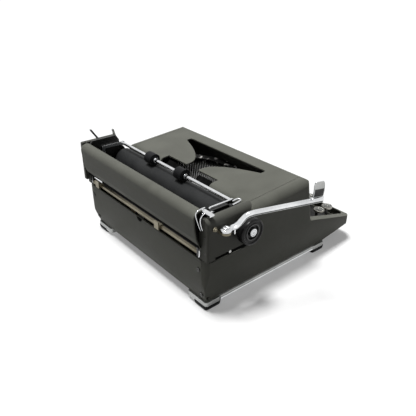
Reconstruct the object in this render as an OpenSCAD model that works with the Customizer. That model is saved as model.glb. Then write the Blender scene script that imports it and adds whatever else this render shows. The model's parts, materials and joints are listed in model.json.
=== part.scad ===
// Portable manual typewriter with a hinged ribbon cover.
// Millimetres, +Z up. The typist sits on the -Y side, so +X is the typist's right.
// Everything is drawn about the middle of the machine and then placed by place().

/* [Casing] */
// Widest width of the casing
body_w = 298; // [294:1:304]
// How far each side tucks in towards the bottom edge
tuck = 10; // [7:0.5:11]
// Thickness of the sheet metal of the casing
wall = 2.2; // [1.8:0.1:2.6]
// Height of the crest of the hood above the table
hood_h = 140; // [138:1:142]
// Fall of the hood from its crest to its rear edge, in degrees
hood_fall = 4; // [3:0.5:4.5]
// Radius of the rounded shoulders of the hood
shoulder_r = 13; // [11:1:16]
// Plan radius of the front corners of the casing
nose_corner_r = 25; // [18:1:32]

/* [Cover] */
// Half width of the opening at its front edge
opening_half = 87; // [78:1:92]
// Half width of the throat through which the typebars strike
throat_half = 14; // [13:0.5:17]
// Half width of the notch in front of the platen
notch_half = 59; // [50:1:66]

/* [Keyboard] */
// Diameter of a key top
key_d = 14.5; // [13:0.5:15.5]
// Distance between keys in a row
key_pitch = 19; // [18.4:0.2:19.4]
// Rise from one row of keys to the next
row_rise = 5.5; // [4.5:0.5:6]

/* [Carriage] */
// Radius of the platen
platen_r = 18.5; // [17:0.25:18.75]
// Radius of the platen knobs
knob_r = 18.5; // [15:0.5:18.5]
// Thickness of the platen knobs
knob_t = 12.5; // [11:0.5:14]
// Radius of the rollers on the paper bail
bail_roller_r = 9; // [8:0.5:10]
// Distance from the pivot of the return lever to the end of its bar
lever_reach = 133; // [125:1:137]

/* [Type] */
// Number of typebars, an odd number
typebar_count = 41; // [31:2:43]
// Half of the angle that the fan of typebars spreads over
fan_half = 58; // [52:1:60]

/* [Hidden] */
$fn = 48;

// Clearances
gap = 0.3;          // free gap between faces of bodies that move past each other
run = 0.05;         // radial running clearance of a shaft in its bore
snug = 0.02;        // radial clearance of a pin that is fixed in its hole
seam = 0.5;         // visible joint between the cover and the casing
fuse = 0.4;         // depth by which two features of one piece run into each other

// Heights and depths of the casing
half_w = body_w / 2;
base_z = 13;                    // bottom edge of the casing
front_y = -160;                 // front of the keyboard
rear_y = 150;                   // rear panel
rear_tuck = tuck - 1;           // rear panel tucks in a little less than the sides
rear_turn_z = 58;               // above this the rear panel stands upright
side_turn_z = 70;               // above this the sides stand upright
side_top = 79.5;                // top of the sides under the carriage
rear_top = side_top + 3.5;      // top of the rear panel
bed_top = side_top - 0.5;       // top of the carriage bed
beam_low = bed_top + 2;         // underside of the carriage
deck = beam_low + 3.5;          // level on which the carriage's end frames stand
rear_step_y = rear_y - 6;       // the sides rise to the rear panel behind this
panel_cut_y = rear_y - 12;      // the opening for the rear panel starts here
hood_rear_y = 71;               // rear edge of the hood
hood_front_y = -53;             // foot of the front of the hood
hood_foot_z = 69;
roll_r = 8;                     // rounding along the crest, about the cover's hinge
hinge_y = -33;
hinge_z = hood_h - roll_r;
lip_r = 10;                     // rolled rear edge of the hood
front_turn = 169;               // direction in which the front of the hood faces
nose_top = 42;
nose_bottom = 26;
nose_r = 9;
nose_low_r = 6;
front_foot_y = -98;             // the underside rises to the nose in front of this
rail_half = half_w - 12;        // inside of the rails beside the keyboard
well_front = front_y + 7;
well_rear = hood_front_y - 2;

// Points of a circular arc, from angle a0 to a1 in n steps
function arc(c, r, a0, a1, n) =
    [for (i = [0:n]) let (a = a0 + (a1 - a0) * i / n) c + r * [cos(a), sin(a)]];
function mirrored(pts) = [for (i = [len(pts) - 1:-1:0]) [-pts[i][0], pts[i][1]]];
function reach(p, a, d) = p + d * [cos(a), sin(a)];
// Radius of an arc that moves in by d over a height h and ends upright
function tuck_radius(d, h) = (d * d + h * h) / (2 * d);
// Point at parameter t on the line from a to b
function mix(a, b, t) = a + (b - a) * t;

// A drawing in Y and Z, extruded from x0 to x1
module along_x(x0, x1)
    translate([x0, 0, 0]) rotate([90, 0, 90]) linear_extrude(x1 - x0) children();
// A drawing in X and Z, extruded from y0 to y1
module along_y(y0, y1)
    translate([0, y1, 0]) rotate([90, 0, 0]) linear_extrude(y1 - y0) children();
// A round rod along X
module rod_x(x0, x1, p, r)
    translate([x0, p[0], p[1]]) rotate([0, 90, 0]) cylinder(r = r, h = x1 - x0);
// A box given by two corners
module box(a, b) translate(a) cube(b - a);
// Both sides of the machine
module both() { children(); mirror([1, 0, 0]) children(); }

// Where the machine sits on the frame: the box round it is centred on the origin
casing_out = half_w + 4;        // the end casings stand out over the sides
lever_pivot = [-casing_out - 8.5, 128];
lever_out = 18;                 // plan angle of the return lever, away from the casing
lever_t = 3.5;
knob_in = half_w + 8.5;
knob_out = knob_in + knob_t;
lever_tip_x = lever_pivot[0] - lever_reach * sin(lever_out) - lever_t / 2;
table_rear_y = rear_y + 11;
shift_x = -(lever_tip_x + knob_out) / 2;
shift_y = -(front_y + table_rear_y) / 2;
module place() translate([shift_x, shift_y, 0]) children();

// Casing: outlines drawn with an inset t, which is 0 outside and wall inside
side_arc = tuck_radius(tuck, side_turn_z - base_z);
rear_arc = tuck_radius(rear_tuck, rear_turn_z - base_z);
hinge = [hinge_y, hinge_z];
front_dir = [cos(front_turn), sin(front_turn)];
// Y of the hood's front at height z, with inset t
function hood_front(z, t) =
    let (p = hinge + (roll_r - t) * front_dir) p[0] + (z - p[1]) * tan(180 - front_turn);
function inside(t, a, b) = t > 0 ? a : b;
rail_rear = [hood_front_y - 4, hood_foot_z];
rail_front = [front_y + nose_r, nose_top];

// The lip is the rolled rear edge of the hood
lip = hinge + [hood_rear_y - lip_r - hinge_y, 0]
    + [0, roll_r - (hood_rear_y - lip_r - hinge_y) * tan(hood_fall) - lip_r];
lip_low = lip[1] - 3;
skim = 0.1;                     // one outline stands this far outside the next, so no faces coincide
rear_sweep = asin((rear_turn_z - base_z) / rear_arc);
side_sweep = asin((side_turn_z - base_z) / side_arc);
// Side view of the whole casing
function side_view(t) = concat(
    [[front_foot_y + inside(t, 1, 0), inside(t, 0, base_z)]],
    inside(t, [[rear_y - rear_tuck - t, 0]], []),
    arc([rear_y - rear_arc, rear_turn_z], rear_arc - t, -rear_sweep, 0, 8),
    inside(t, [[rear_y - t, lip_low], [hood_rear_y - t, lip_low]],
        [[rear_y, rear_top], [rear_step_y, rear_top], [rear_step_y - 0.5, side_top],
         [hood_rear_y, side_top]]),
    arc(lip, lip_r - t, 0, 90 - hood_fall, 8),
    arc(hinge, roll_r - t, 90 - hood_fall, front_turn, 12),
    [[hood_front(hood_foot_z - t, t), hood_foot_z - t], [rail_rear[0], rail_rear[1] - t]],
    arc([rail_front[0], nose_top - nose_r], nose_r - t, 90, 180, 10),
    arc([front_y + nose_low_r, nose_bottom + nose_low_r], nose_low_r - t, 180, 270, 8),
    inside(t, [[front_y + nose_low_r, 0]], []));
// Front view: the sides tuck in towards the bottom
function front_view(t) = let (half = concat(
    [[half_w - tuck - t, inside(t, -1, base_z - 1)]],
    arc([half_w - side_arc, side_turn_z], side_arc - t, -side_sweep, 0, 10),
    [[half_w - t, hood_h + 1]])) concat(half, mirrored(half));
// Shoulders of the hood, drawn about its hinge and laid along its fall
function shoulder_view(t) = let (w = half_w + skim, half = concat(
    [[w - t, -hood_h * 2]],
    arc([w - shoulder_r, roll_r - shoulder_r], shoulder_r - t, 0, 90, 14)))
    concat(half, mirrored(half));
rear_corner_r = 10;
function plan_view(t) = let (w = half_w + skim, f = front_y - skim, b = rear_y + skim,
    half = concat(
        arc([w - nose_corner_r, f + nose_corner_r], nose_corner_r - t, -90, 0, 12),
        arc([w - rear_corner_r, b - rear_corner_r], rear_corner_r - t, 0, 90, 8)))
    concat(half, mirrored(half));
// What the round front corners of the hood take off
hood_corner_r = 7;
module hood_corner(t) let (c = [half_w + skim - hood_corner_r, hood_corner_r - skim])
    translate([0, hood_front(hinge_z, 0), hinge_z]) rotate([front_turn - 180, 0, 0])
        translate([0, 0, hood_foot_z - hinge_z]) linear_extrude(hood_h) polygon(concat(
            arc(c, hood_corner_r - t, -90, 0, 8),
            [[half_w + 20, c[1]], [half_w + 20, -20], [c[0], -20]]));
module casing_form(t) difference() {
    intersection() {
        along_x(-half_w - 1, half_w + 1) polygon(side_view(t));
        along_y(front_y - 1, rear_y + 1) polygon(front_view(t));
        translate([0, hinge_y, hinge_z]) rotate([-hood_fall, 0, 0])
            along_y(-hood_h * 2, hood_h * 2) polygon(shoulder_view(t));
        translate([0, 0, -1]) linear_extrude(hood_h + 2) polygon(plan_view(t));
    }
    both() hood_corner(t);
}
module casing() difference() {
    casing_form(0);
    casing_form(wall);
}

// The cover is the hood between its shoulders, above a plane through the hinge
seam_fall = 9.5;
barrel_r = roll_r + 2;
cover_half = half_w - 16;       // the shoulders beside the cover stay on the casing
module cover_zone(grow) along_x(-cover_half - grow, cover_half + grow) {
    translate(hinge) circle(barrel_r + grow);
    polygon([hinge - [0, grow], reach(hinge - [0, grow], -seam_fall, hood_h),
             hinge + [hood_h, hood_h], hinge + [0, hood_h]]);
}
// Front edge, curved sides, throat and rear notch of the opening over the type
opening_front = -14;
throat_front = 46;
notch_front = 52.5;
opening_corner = 4;
opening_side = -4;
function opening_curve(n) = let (a = [opening_half, opening_side], b = [throat_half, throat_front])
    [for (i = [0:n]) let (t = i / n) [mix(a[0], b[0], 1 - (1 - t) * (1 - t)),
                                      mix(a[1], b[1], t)]];
function opening_outline() = let (half = concat(
    arc([opening_half - opening_corner, opening_front + opening_corner], opening_corner, -90, 0, 6),
    opening_curve(12),
    [[throat_half, notch_front], [notch_half, notch_front], [notch_half, hood_rear_y + 5]]))
    concat(half, mirrored(half));
// Hinge lugs: the cover's hang on the pins beside the casing's
hinge_pin_r = 1.5;
lug_r = 4;
lug_in = half_w - 31;
lug_t = 4.5;
lug_gap = 1.2;
body_lug_in = lug_in + lug_t + lug_gap;
module lug(r) difference() {
    children();
    translate(hinge) circle(hinge_pin_r + r);
}
module body_lug() {
    along_x(body_lug_in, body_lug_in + lug_t) lug(snug) {
        translate(hinge) circle(lug_r);
        translate(hinge + [0, -3.5]) square([18, 6]);
        translate(hinge + [12, -22]) square([8, 24]);
    }
    box([body_lug_in, hinge_y + 12, hinge_z - 22],
        [half_w - wall + fuse, hinge_y + 20, hinge_z - 15]);
}
module body_shell() color([0.27, 0.27, 0.25]) place() {
    difference() {
        casing();
        cover_zone(seam);
        translate([0, 0, nose_bottom]) linear_extrude(hood_foot_z - nose_bottom + 1)
            well_outline();
        box([-panel_half, panel_cut_y, 0], [panel_half, rear_y + 1, rear_top + 1]);
    }
    both() body_lug();
}
well_r = 15;
module well_outline() let (half = concat(
    arc([rail_half - well_r, well_front + well_r], well_r, -90, 0, 8), [[rail_half, well_rear]]))
    polygon(concat(half, mirrored(half)));
module top_cover() color([0.3, 0.3, 0.28]) place() {
    difference() {
        intersection() { casing(); cover_zone(0); }
        translate([0, 0, hood_h / 2]) linear_extrude(hood_h) polygon(opening_outline());
    }
    both() along_x(lug_in, lug_in + lug_t) lug(run) {
        translate(hinge) circle(lug_r);
        translate(hinge - [3, 0]) square([6, roll_r - wall + fuse]);
    }
}
module cover_hinge_pins() color("silver") place() both()
    rod_x(lug_in - 1, body_lug_in + lug_t + 1, hinge, hinge_pin_r);

// Rear panel and its screws
panel_half = half_w - 7;
screw_x = panel_half - 6;
screw_r = 1.5;
screw_head_r = 3;
screw_low = -16;                // direction of the lower screws on the tucked-in part
screw_high_z = rear_top - 16;
module at_screws() both() {
    translate([screw_x, rear_y, screw_high_z]) rotate([-90, 0, 0]) children();
    translate([screw_x, rear_y - rear_arc, rear_turn_z]) rotate([screw_low, 0, 0])
        translate([0, rear_arc, 0]) rotate([-90, 0, 0]) children();
}
panel_t = 2;
function panel_side() = concat(
    arc([rear_y - rear_arc, rear_turn_z], rear_arc,
        -asin((rear_turn_z - base_z) / rear_arc), 0, 8),
    [[rear_y, rear_top], [rear_y - panel_t, rear_top]],
    arc([rear_y - rear_arc, rear_turn_z], rear_arc - panel_t, 0,
        -asin((rear_turn_z - base_z) / rear_arc), 8));
module rear_panel() color([0.26, 0.26, 0.24]) place() difference() {
    along_x(-panel_half, panel_half) polygon(panel_side());
    at_screws() translate([0, 0, -wall * 2]) cylinder(r = screw_r + snug, h = wall * 4);
}
module rear_panel_screws() color("silver") place() at_screws() {
    difference() {
        cylinder(r = screw_head_r, h = 1.4);
        box([-screw_head_r, -0.4, 0.8], [screw_head_r, 0.4, 2]);
    }
    translate([0, 0, -panel_t - 1]) cylinder(r = screw_r, h = panel_t + 1 + fuse);
}

// Feet, corner brackets and the bright strips between them
foot_len = 26;
rubber_t = 5;
foot_edge = half_w - tuck + 4;
foot_in = half_w - tuck - 22;
bracket_in = foot_in - 14;      // the brackets run on along the rear and the front
rear_foot_y = rear_y - rear_tuck + 3;
trim_t = 6;
module rounded_plate(a, b, r, h) linear_extrude(h) union() {
    translate(a + [r, 0]) square(b - a - [2 * r, 0]);
    translate(a + [0, r]) square(b - a - [0, 2 * r]);
    for (x = [a[0] + r, b[0] - r], y = [a[1] + r, b[1] - r]) translate([x, y]) circle(r);
}
module feet(inner, inset, z0, z1) both() for (y = [rear_foot_y - foot_len, front_foot_y + 1])
    translate([0, 0, z0]) rounded_plate([inner + inset, y + inset],
        [foot_edge - inset, y + foot_len - inset], 4, z1 - z0);
module foot_brackets() color("gainsboro") place() feet(bracket_in, 0, rubber_t, base_z);
module rubber_feet() color([0.08, 0.08, 0.08]) place() feet(foot_in, 1, 0, rubber_t);
module base_trim() color("gainsboro") place() both()
    box([half_w - tuck - 6, front_foot_y + 1 + foot_len, base_z - trim_t],
        [foot_edge, rear_foot_y - foot_len, base_z]);

// Side frames of the works, held by the feet
frame_in = half_w - 16;
frame_t = 2.5;
fulcrum = [95, 30];
fulcrum_r = 2;
strike = [hood_rear_y + seam, deck + 29.5];
cup_floor = strike[1] - 22;
module frame_plate() along_x(frame_in, frame_in + frame_t) polygon([
    [front_foot_y + 4, base_z], [rear_foot_y - 9, base_z], [rear_foot_y - 6, bed_top - 1],
    [post_y + 34, bed_top - 1], [post_y + 16, bed_low], [post_y + 5, bed_low],
    [post_y + 4, rest_top], [post_y - 4, rest_top], [post_y - 7, cup_floor],
    [cup_y - 12, cup_floor], [cup_y - 16, bed_low], [hood_front_y + 8, 50],
    [hood_front_y - 6, 24], [front_foot_y + 4, 24]]);
// The pan closes the underside in front of the feet
pan_t = 1.5;
pan_front = [well_front + 1, nose_bottom + 0.5];
pan_rear = [front_foot_y + 9, base_z + 0.5];
module pan() along_x(-frame_in - fuse, frame_in + fuse)
    polygon([pan_rear, pan_rear + [0, pan_t], [front_foot_y, base_z + 0.5 + pan_t],
             pan_front + [0, pan_t], pan_front, [front_foot_y, base_z + 0.5]]);
module side_frames() color([0.2, 0.2, 0.2]) place() {
    both() frame_plate();
    pan();
}
module key_fulcrum_rod() color("silver") place() rod_x(-frame_in, frame_in, fulcrum, fulcrum_r);

// Carriage bed: two grooved rails and two end ties
bed_low = bed_top - 13;
rail_y = [98, 130];
groove_half = 3;
rail_wide = 6;
groove_low = bed_top - 8;
carriage_travel = 105;
shoe_half = frame_in - carriage_travel - 1;
module carriage_bed() color([0.3, 0.3, 0.3]) place() {
    for (y = rail_y) along_x(-frame_in, frame_in) difference() {
        translate([y - rail_wide, bed_low]) square([2 * rail_wide, bed_top - bed_low]);
        translate([y - groove_half, groove_low]) square([2 * groove_half, bed_top]);
    }
    both() box([frame_in - 14, rail_y[0], bed_low], [frame_in, rail_y[1], groove_low - 1]);
    box([-30, strike[0] + 5, bed_low], [30, rail_y[0], groove_low - 1]);
    both() box([drum_x - 12, rail_y[0], bed_low], [drum_x + 12, rail_y[1], groove_low - 1]);
    translate([drum_x, drum_y, drum_low - 2]) cylinder(r = arbor_r, h = bed_low - drum_low + 3);
    along_y(rail_y[1] + rail_wide - 1, pinion_y + pinion_t + gap) translate(pinion)
        circle(pinion_bore - run);
}

// Mainspring drum and bell hang from the carriage bed
drum_x = 95;
drum_y = 114;
drum_r = 20;
drum_low = bed_low - 24;
drum_h = 18;
arbor_r = 3;
module mainspring_drum() color("silver") place() translate([drum_x, drum_y, drum_low])
    difference() {
        union() {
            cylinder(r = drum_r, h = drum_h - 4);
            cylinder(r = drum_r - 3, h = drum_h);
        }
        translate([0, 0, -1]) cylinder(r = arbor_r + run, h = drum_h + 2);
    }
bell_r = 18;
bell_t = 2;
module bell() color("goldenrod") place() translate([-drum_x, drum_y, bed_low])
    rotate_extrude() polygon(concat([[0, 0], [0, -9]],
        arc([0, -8 - bell_r], bell_r - bell_t, 90, 10, 8),
        arc([0, -8 - bell_r], bell_r, 10, 78, 8), [[arbor_r, -6], [arbor_r, 0]]));

// Type basket: every bar is a copy of the middle one, turned about the printing point
pivot_r = 48.5;
pivot_z = strike[1] - 52;
swing = 76;
bar_t = 1.2;
slug_t = 3.4;
slug_h = 10;
wire_r = 1;
type_gap = 0.5;
fan_step = 2 * fan_half / (typebar_count - 1);
middle = (typebar_count - 1) / 2;
face = [pivot_r - type_gap, strike[1] - pivot_z];      // type face, from the pivot
bar_end = face - [6, 4];
bar_dir = atan2(bar_end[1], bar_end[0]);
module typebar_flat() {
    along_x(-bar_t / 2, bar_t / 2) difference() {
        union() {
            circle(3);
            rotate(bar_dir) polygon([[0, -2.2], [norm(bar_end), -1.6],
                                     [norm(bar_end), 1.6], [0, 2.2]]);
        }
        circle(wire_r + run);
    }
    along_x(-slug_t / 2, slug_t / 2) translate(face - [7, slug_h / 2]) square([7, slug_h]);
}
module in_fan(turn) translate([0, strike[0], 0]) rotate([0, 0, turn]) children();
module typebar(i, lift) in_fan((i - middle) * fan_step)
    translate([0, -pivot_r, pivot_z]) rotate([lift, 0, 0]) typebar_flat();
module typebars() color("silver") place()
    for (i = [0:typebar_count - 1]) if (i != middle) typebar(i, swing);
module active_typebar() color("silver") place() typebar(middle, swing);
// A sector of a ring about the printing point, open to the rear
module fan_ring(r0, r1, z0, z1, half) in_fan(-90 - half) rotate_extrude(angle = 2 * half)
    translate([r0, z0]) square([r1 - r0, z1 - z0]);
segment_low = pivot_z - 12;
segment_top = pivot_z + 5;
segment_half = fan_half + 6;
segment_wide = 6.5;
groove_r = 1.6;
bar_low = pivot_z - 18;
slot_t = bar_t + 0.3;
module type_segment() color([0.35, 0.35, 0.35]) place() {
    difference() {
        fan_ring(pivot_r - segment_wide, pivot_r + segment_wide, segment_low, segment_top,
            segment_half);
        fan_ring(pivot_r - groove_r, pivot_r + groove_r, pivot_z - wire_r, segment_top + 1,
            segment_half + 5);
        for (i = [0:typebar_count - 1]) in_fan((i - middle) * fan_step)
            box([-slot_t / 2, -pivot_r - 10, pivot_z - 4], [slot_t / 2, -pivot_r + 10, 80]);
    }
    box([-frame_in, strike[0] - pivot_r - 5, bar_low],
        [frame_in, strike[0] - pivot_r + 5, segment_low + fuse]);
}
module typebar_wire() color("silver") place() in_fan(-90 - segment_half)
    rotate_extrude(angle = 2 * segment_half) translate([pivot_r, pivot_z]) circle(wire_r);
rest_wide = 5;
rest_half = 66;
rest_back = 12;                 // the pad lies this far before the ends of the bars
rest_slope = 180 - bar_dir - swing;                     // the bars lie on the pad at this slope
rest_r = pivot_r + (norm(bar_end) - rest_back) * cos(rest_slope);
rest_top = pivot_z + (rest_r - pivot_r) * tan(rest_slope) - 1.8 / cos(rest_slope) - gap;
rest_low = rest_top - 5.8;
post_y = strike[0] - rest_r * cos(rest_half);
module type_rest() color([0.15, 0.13, 0.12]) place() {
    fan_ring(rest_r, rest_r + rest_wide, rest_low, rest_top, rest_half);
    both() box([rest_r * sin(rest_half - 2), post_y - 3, rest_low], [frame_in, post_y + 3, rest_top]);
}
guide_y = strike[0] - 5.5;
guide_half = 20;
guide_t = 2;
guide_slot = 2.6;
guide_top = strike[1] - 2;
tie_top = groove_low - 1;
finger_low = strike[1] - 14;
finger_top = strike[1] + 6;
vib_half = 14;
module type_guide() color("silver") place() {
    along_y(guide_y, guide_y + guide_t) difference() {
        translate([-guide_half, tie_top]) square([2 * guide_half, guide_top - tie_top]);
        polygon([[0, guide_top - 22], [guide_slot, guide_top - 14], [guide_slot, guide_top + 1],
                 [-guide_slot, guide_top + 1], [-guide_slot, guide_top - 14]]);
    }
    box([-12, guide_y, tie_top], [12, guide_y + 16, tie_top + 2.5]);
    both() {
        box([guide_half - 2, guide_y + 0.6, finger_low], [notch_half - 3, guide_y + 1.8, finger_top]);
        box([vib_half + gap, guide_y - 4, tie_top + 8], [vib_half + 2, guide_y + fuse, guide_top - 8]);
    }
}
module ribbon_vibrator() color("silver") place()
    along_y(guide_y - gap - 2, guide_y - gap) difference() {
        translate([-vib_half, tie_top + 8]) square([2 * vib_half, guide_top - 16 - tie_top]);
        translate([-4, tie_top + 14]) square([8, guide_top]);
    }

// Ribbon cups on the side frames, and the spools that turn in them
cup_x = frame_in - 19;
cup_y = 10;
cup_r = 21;
cup_h = 14;
spool_r = cup_r - 2.5;
spindle_r = 2;
module ribbon_cups() color([0.2, 0.2, 0.2]) place() both() translate([cup_x, cup_y, cup_floor]) {
    difference() {
        cylinder(r = cup_r, h = cup_h);
        translate([0, 0, 2]) cylinder(r = cup_r - 1.5, h = cup_h);
    }
    cylinder(r = spindle_r, h = cup_h + 8);
}
module spool() difference() {
    union() {
        cylinder(r = spool_r, h = 1.2);
        cylinder(r = 6, h = 15);
        translate([0, 0, 13.8]) cylinder(r = spool_r, h = 1.2);
    }
    translate([0, 0, -1]) cylinder(r = spindle_r + run, h = 20);
    for (a = [0:60:300]) rotate([0, 0, a]) translate([11.5, 0, -1]) cylinder(r = 3, h = 20);
}
module right_ribbon_spool() color("silver") place() translate([cup_x, cup_y, cup_floor + 2 + gap]) spool();
module left_ribbon_spool() color("silver") place() translate([-cup_x, cup_y, cup_floor + 2 + gap]) spool();

// Keys: levers hang on the fulcrum rod and rise to the key tops
first_row_y = -74;
row_step = 19;
first_row_z = 75;
stagger = [-0.5, 0, 0.25, 0.75];        // in key pitches
row_count = [11, 11, 10, 10];
strike_col = 5;
lever_low = 27;
lever_tall = 6;
bend_y = -45;                   // the levers rise to their keys in front of this
key_t = 1.6;
cap_t = 3.2;
key_stem = 17;
function row_y(r) = first_row_y - r * row_step;
function row_z(r) = first_row_z - r * row_rise;
function key_x(r, c) = (c - 5 + stagger[r]) * key_pitch;
module key_lever(x, y, top, stem_h, t) along_x(x - t / 2, x + t / 2) difference() {
    union() {
        translate(fulcrum) circle(5);
        polygon([[fulcrum[0], lever_low], [fulcrum[0], lever_low + lever_tall],
                 [bend_y, lever_low + lever_tall], [y + 2.5, top - stem_h + lever_tall],
                 [y + 2.5, top], [y - 2.5, top], [y - 2.5, top - stem_h], [bend_y, lever_low]]);
    }
    translate(fulcrum) circle(fulcrum_r + run);
}
module key(x, y, z) {
    key_lever(x, y, z - cap_t + fuse, key_stem, key_t);
    translate([x, y, z - cap_t]) cylinder(d = key_d, h = cap_t);
}
module row_keys(r) for (c = [0:row_count[r] - 1])
    if (r != 2 || c != strike_col) key(key_x(r, c), row_y(r), row_z(r));
module number_row_keys() color("ivory") place() row_keys(0);
module upper_row_keys() color("ivory") place() row_keys(1);
module home_row_keys() color("ivory") place() row_keys(2);
module lower_row_keys() color("ivory") place() row_keys(3);
module strike_key() color("ivory") place() key(key_x(2, strike_col), row_y(2), row_z(2));
// The keys at the ends have wider tops, some of them beside their levers
side_key_d = key_d + 1.5;
tab_x = frame_in - 10.5;
tab_out = 4;
tab_y = row_y(1) - 4;
shift_key_x = frame_in - 5.5;
shift_key_y = row_y(2) - 3;
bail_z = 20;
module side_key(x, y, out) {
    key_lever(x, y, row_z(2) - cap_t + fuse, key_stem, key_t);
    translate([x + out, y, row_z(2) - cap_t]) cylinder(d = side_key_d, h = cap_t);
}
module tab_key() color("ivory") place() side_key(-tab_x, tab_y, -tab_out);
module backspace_key() color("ivory") place() side_key(tab_x, tab_y, tab_out);
module shift_keys() color("ivory") place() {
    both() {
        side_key(shift_key_x, shift_key_y, 0);
        along_x(shift_key_x - key_t / 2, shift_key_x + key_t / 2)
            translate([fulcrum[0] - 24, bail_z - 3]) square([8, lever_low - bail_z + 4]);
    }
    rod_x(-shift_key_x, shift_key_x, [fulcrum[0] - 20, bail_z], 2);
}
space_half = 62;
space_y = row_y(3) - 16.5;
space_top = row_z(3) - 8;
module space_bar() color([0.1, 0.1, 0.1]) place() {
    both() key_lever(12.5 * key_pitch / 4, space_y, space_top - 4, 8, 1.4);
    box([-space_half, space_y - 4.5, space_top - 7], [space_half, space_y + 4.5, space_top]);
}

// Carriage: end frames on a beam whose shoes run in the bed
plate_out = half_w - 15;
plate_t = 3;
plate_in = plate_out - plate_t;
casing_in = plate_out + 3;
right_shift = 6;                // the right end frame stands further out
beam_front = 88;
rack_y = rail_y[1] + rail_wide + 3.5;
module carriage_beam() color([0.25, 0.25, 0.25]) place() {
    box([-plate_out, beam_front, beam_low], [plate_out + right_shift, rack_y, deck]);
    for (y = rail_y) box([-shoe_half, y - groove_half + gap, groove_low + 1],
        [shoe_half, y + groove_half - gap, beam_low + fuse]);
}
// Rack and pinion of the escapement
tooth_m = 1;
tooth_p = PI * tooth_m;
rack_t = 3.5;
rack_half_count = 39;
pitch_z = beam_low + tooth_m;
pinion_n = 10;
pinion_t = 2.5;
pinion_y = rack_y + (rack_t - pinion_t) / 2;
pinion_bore = 1.55;
pinion = [30, pitch_z - pinion_n * tooth_m / 2];
module escapement_rack() color("silver") place() along_y(rack_y, rack_y + rack_t)
    polygon(concat([[pinion[0] % tooth_p + (rack_half_count + 1) * tooth_p, deck],
                    [pinion[0] % tooth_p - (rack_half_count + 1) * tooth_p, deck]],
        [for (k = [-rack_half_count:rack_half_count - 1], s = [0:3])
            let (x = pinion[0] % tooth_p + (k + 0.5) * tooth_p)
            [x + [-0.9, -0.35, 0.35, 0.9][s], beam_low + [2, 0, 0, 2][s]]]));
module escapement_pinion() color("goldenrod") place() along_y(pinion_y, pinion_y + pinion_t)
    translate(pinion) difference() {
        polygon([for (k = [0:pinion_n - 1], s = [0:5])
            let (a = 90 - k * 360 / pinion_n + [10, 7, 3.5, -3.5, -7, -10][s])
            [3.7, 5, 5.75, 5.75, 5, 3.7][s] * tooth_m * [cos(a), sin(a)]]);
        circle(pinion_bore);
    }

// Platen and its rollers
platen = strike + [platen_r, 0];
shaft_r = 5;
feed_r = 6;
feed_shaft_r = 2;
function feed_at(a) = reach(platen, a, platen_r + feed_r + gap);
front_feed = feed_at(-114);
rear_feed = feed_at(-60);
platen_half = plate_in - 4;
shaft_end = knob_in + 4;
module platen_roller() color([0.12, 0.12, 0.12]) place() difference() {
    rod_x(-platen_half, platen_half + right_shift, platen, platen_r);
    rod_x(-platen_half - 1, platen_half + right_shift + 1, platen, shaft_r + snug);
}
module platen_shaft() color("silver") place() rod_x(-shaft_end, shaft_end, platen, shaft_r);
ratchet_r = 15;
ratchet_n = 30;
module line_space_ratchet() color("silver") place()
    along_x(-plate_in + 0.5, -platen_half) translate(platen) difference() {
        polygon([for (k = [0:ratchet_n - 1], s = [0, 1])
            let (a = (k + s * 0.35) * 360 / ratchet_n) (ratchet_r - s * 1.2) * [cos(a), sin(a)]]);
        circle(shaft_r + snug);
    }
button_r = 5.5;
dish_r = knob_r - 3.5;
hub_r = 8.5;
module knob(bore) difference() {
    union() {
        rod_x(knob_in, knob_out - 1.2, platen, knob_r);
        rod_x(knob_in, knob_out, platen, knob_r - 1.2);
    }
    difference() {
        rod_x(knob_out - 3, knob_out + 1, platen, dish_r);
        rod_x(knob_out - 4, knob_out - 0.6, platen, hub_r);
    }
    rod_x(knob_in - 1, shaft_end, platen, shaft_r + snug);
    if (bore) rod_x(shaft_end, knob_out + 1, platen, button_r + run);
}
module right_knob() color([0.1, 0.1, 0.1]) place() knob(false);
module left_knob() color([0.1, 0.1, 0.1]) place() mirror([1, 0, 0]) knob(true);
button_out = 1.5;
module variable_spacer_button() color("silver") place() mirror([1, 0, 0])
    rod_x(knob_out - 4.5, knob_out - 0.6 + button_out, platen, button_r);
module feed_roller(p) {
    rod_x(-platen_half + 6, platen_half + right_shift - 6, p, feed_r);
    rod_x(-plate_out + 0.5, plate_out + right_shift - 0.5, p, feed_shaft_r);
}
module front_feed_roller() color([0.15, 0.15, 0.15]) place() feed_roller(front_feed);
module rear_feed_roller() color([0.15, 0.15, 0.15]) place() feed_roller(rear_feed);

// Section of the paper table, with its surface moved out by o
table_half = half_w - 8;
table_t = 1.6;
table_r = 9;
table_crest = [table_rear_y - table_r, deck + 60];
table_foot = [rear_y + 1.8, deck + 17];
function table_path(o) = concat(
    [table_crest + [-5, table_r + o - 0.6]],
    arc(table_crest, table_r + o, 90, 0, 12),
    [table_crest + [table_r + o - 0.8, -12], table_crest + [table_r + o - 3.6, -29],
     table_foot + [o, 0]]);
// Inner side of the sheet, from its foot to its crest
table_inside = [for (i = [len(table_path(0)) - 1:-1:0]) table_path(-table_t)[i]];

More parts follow.
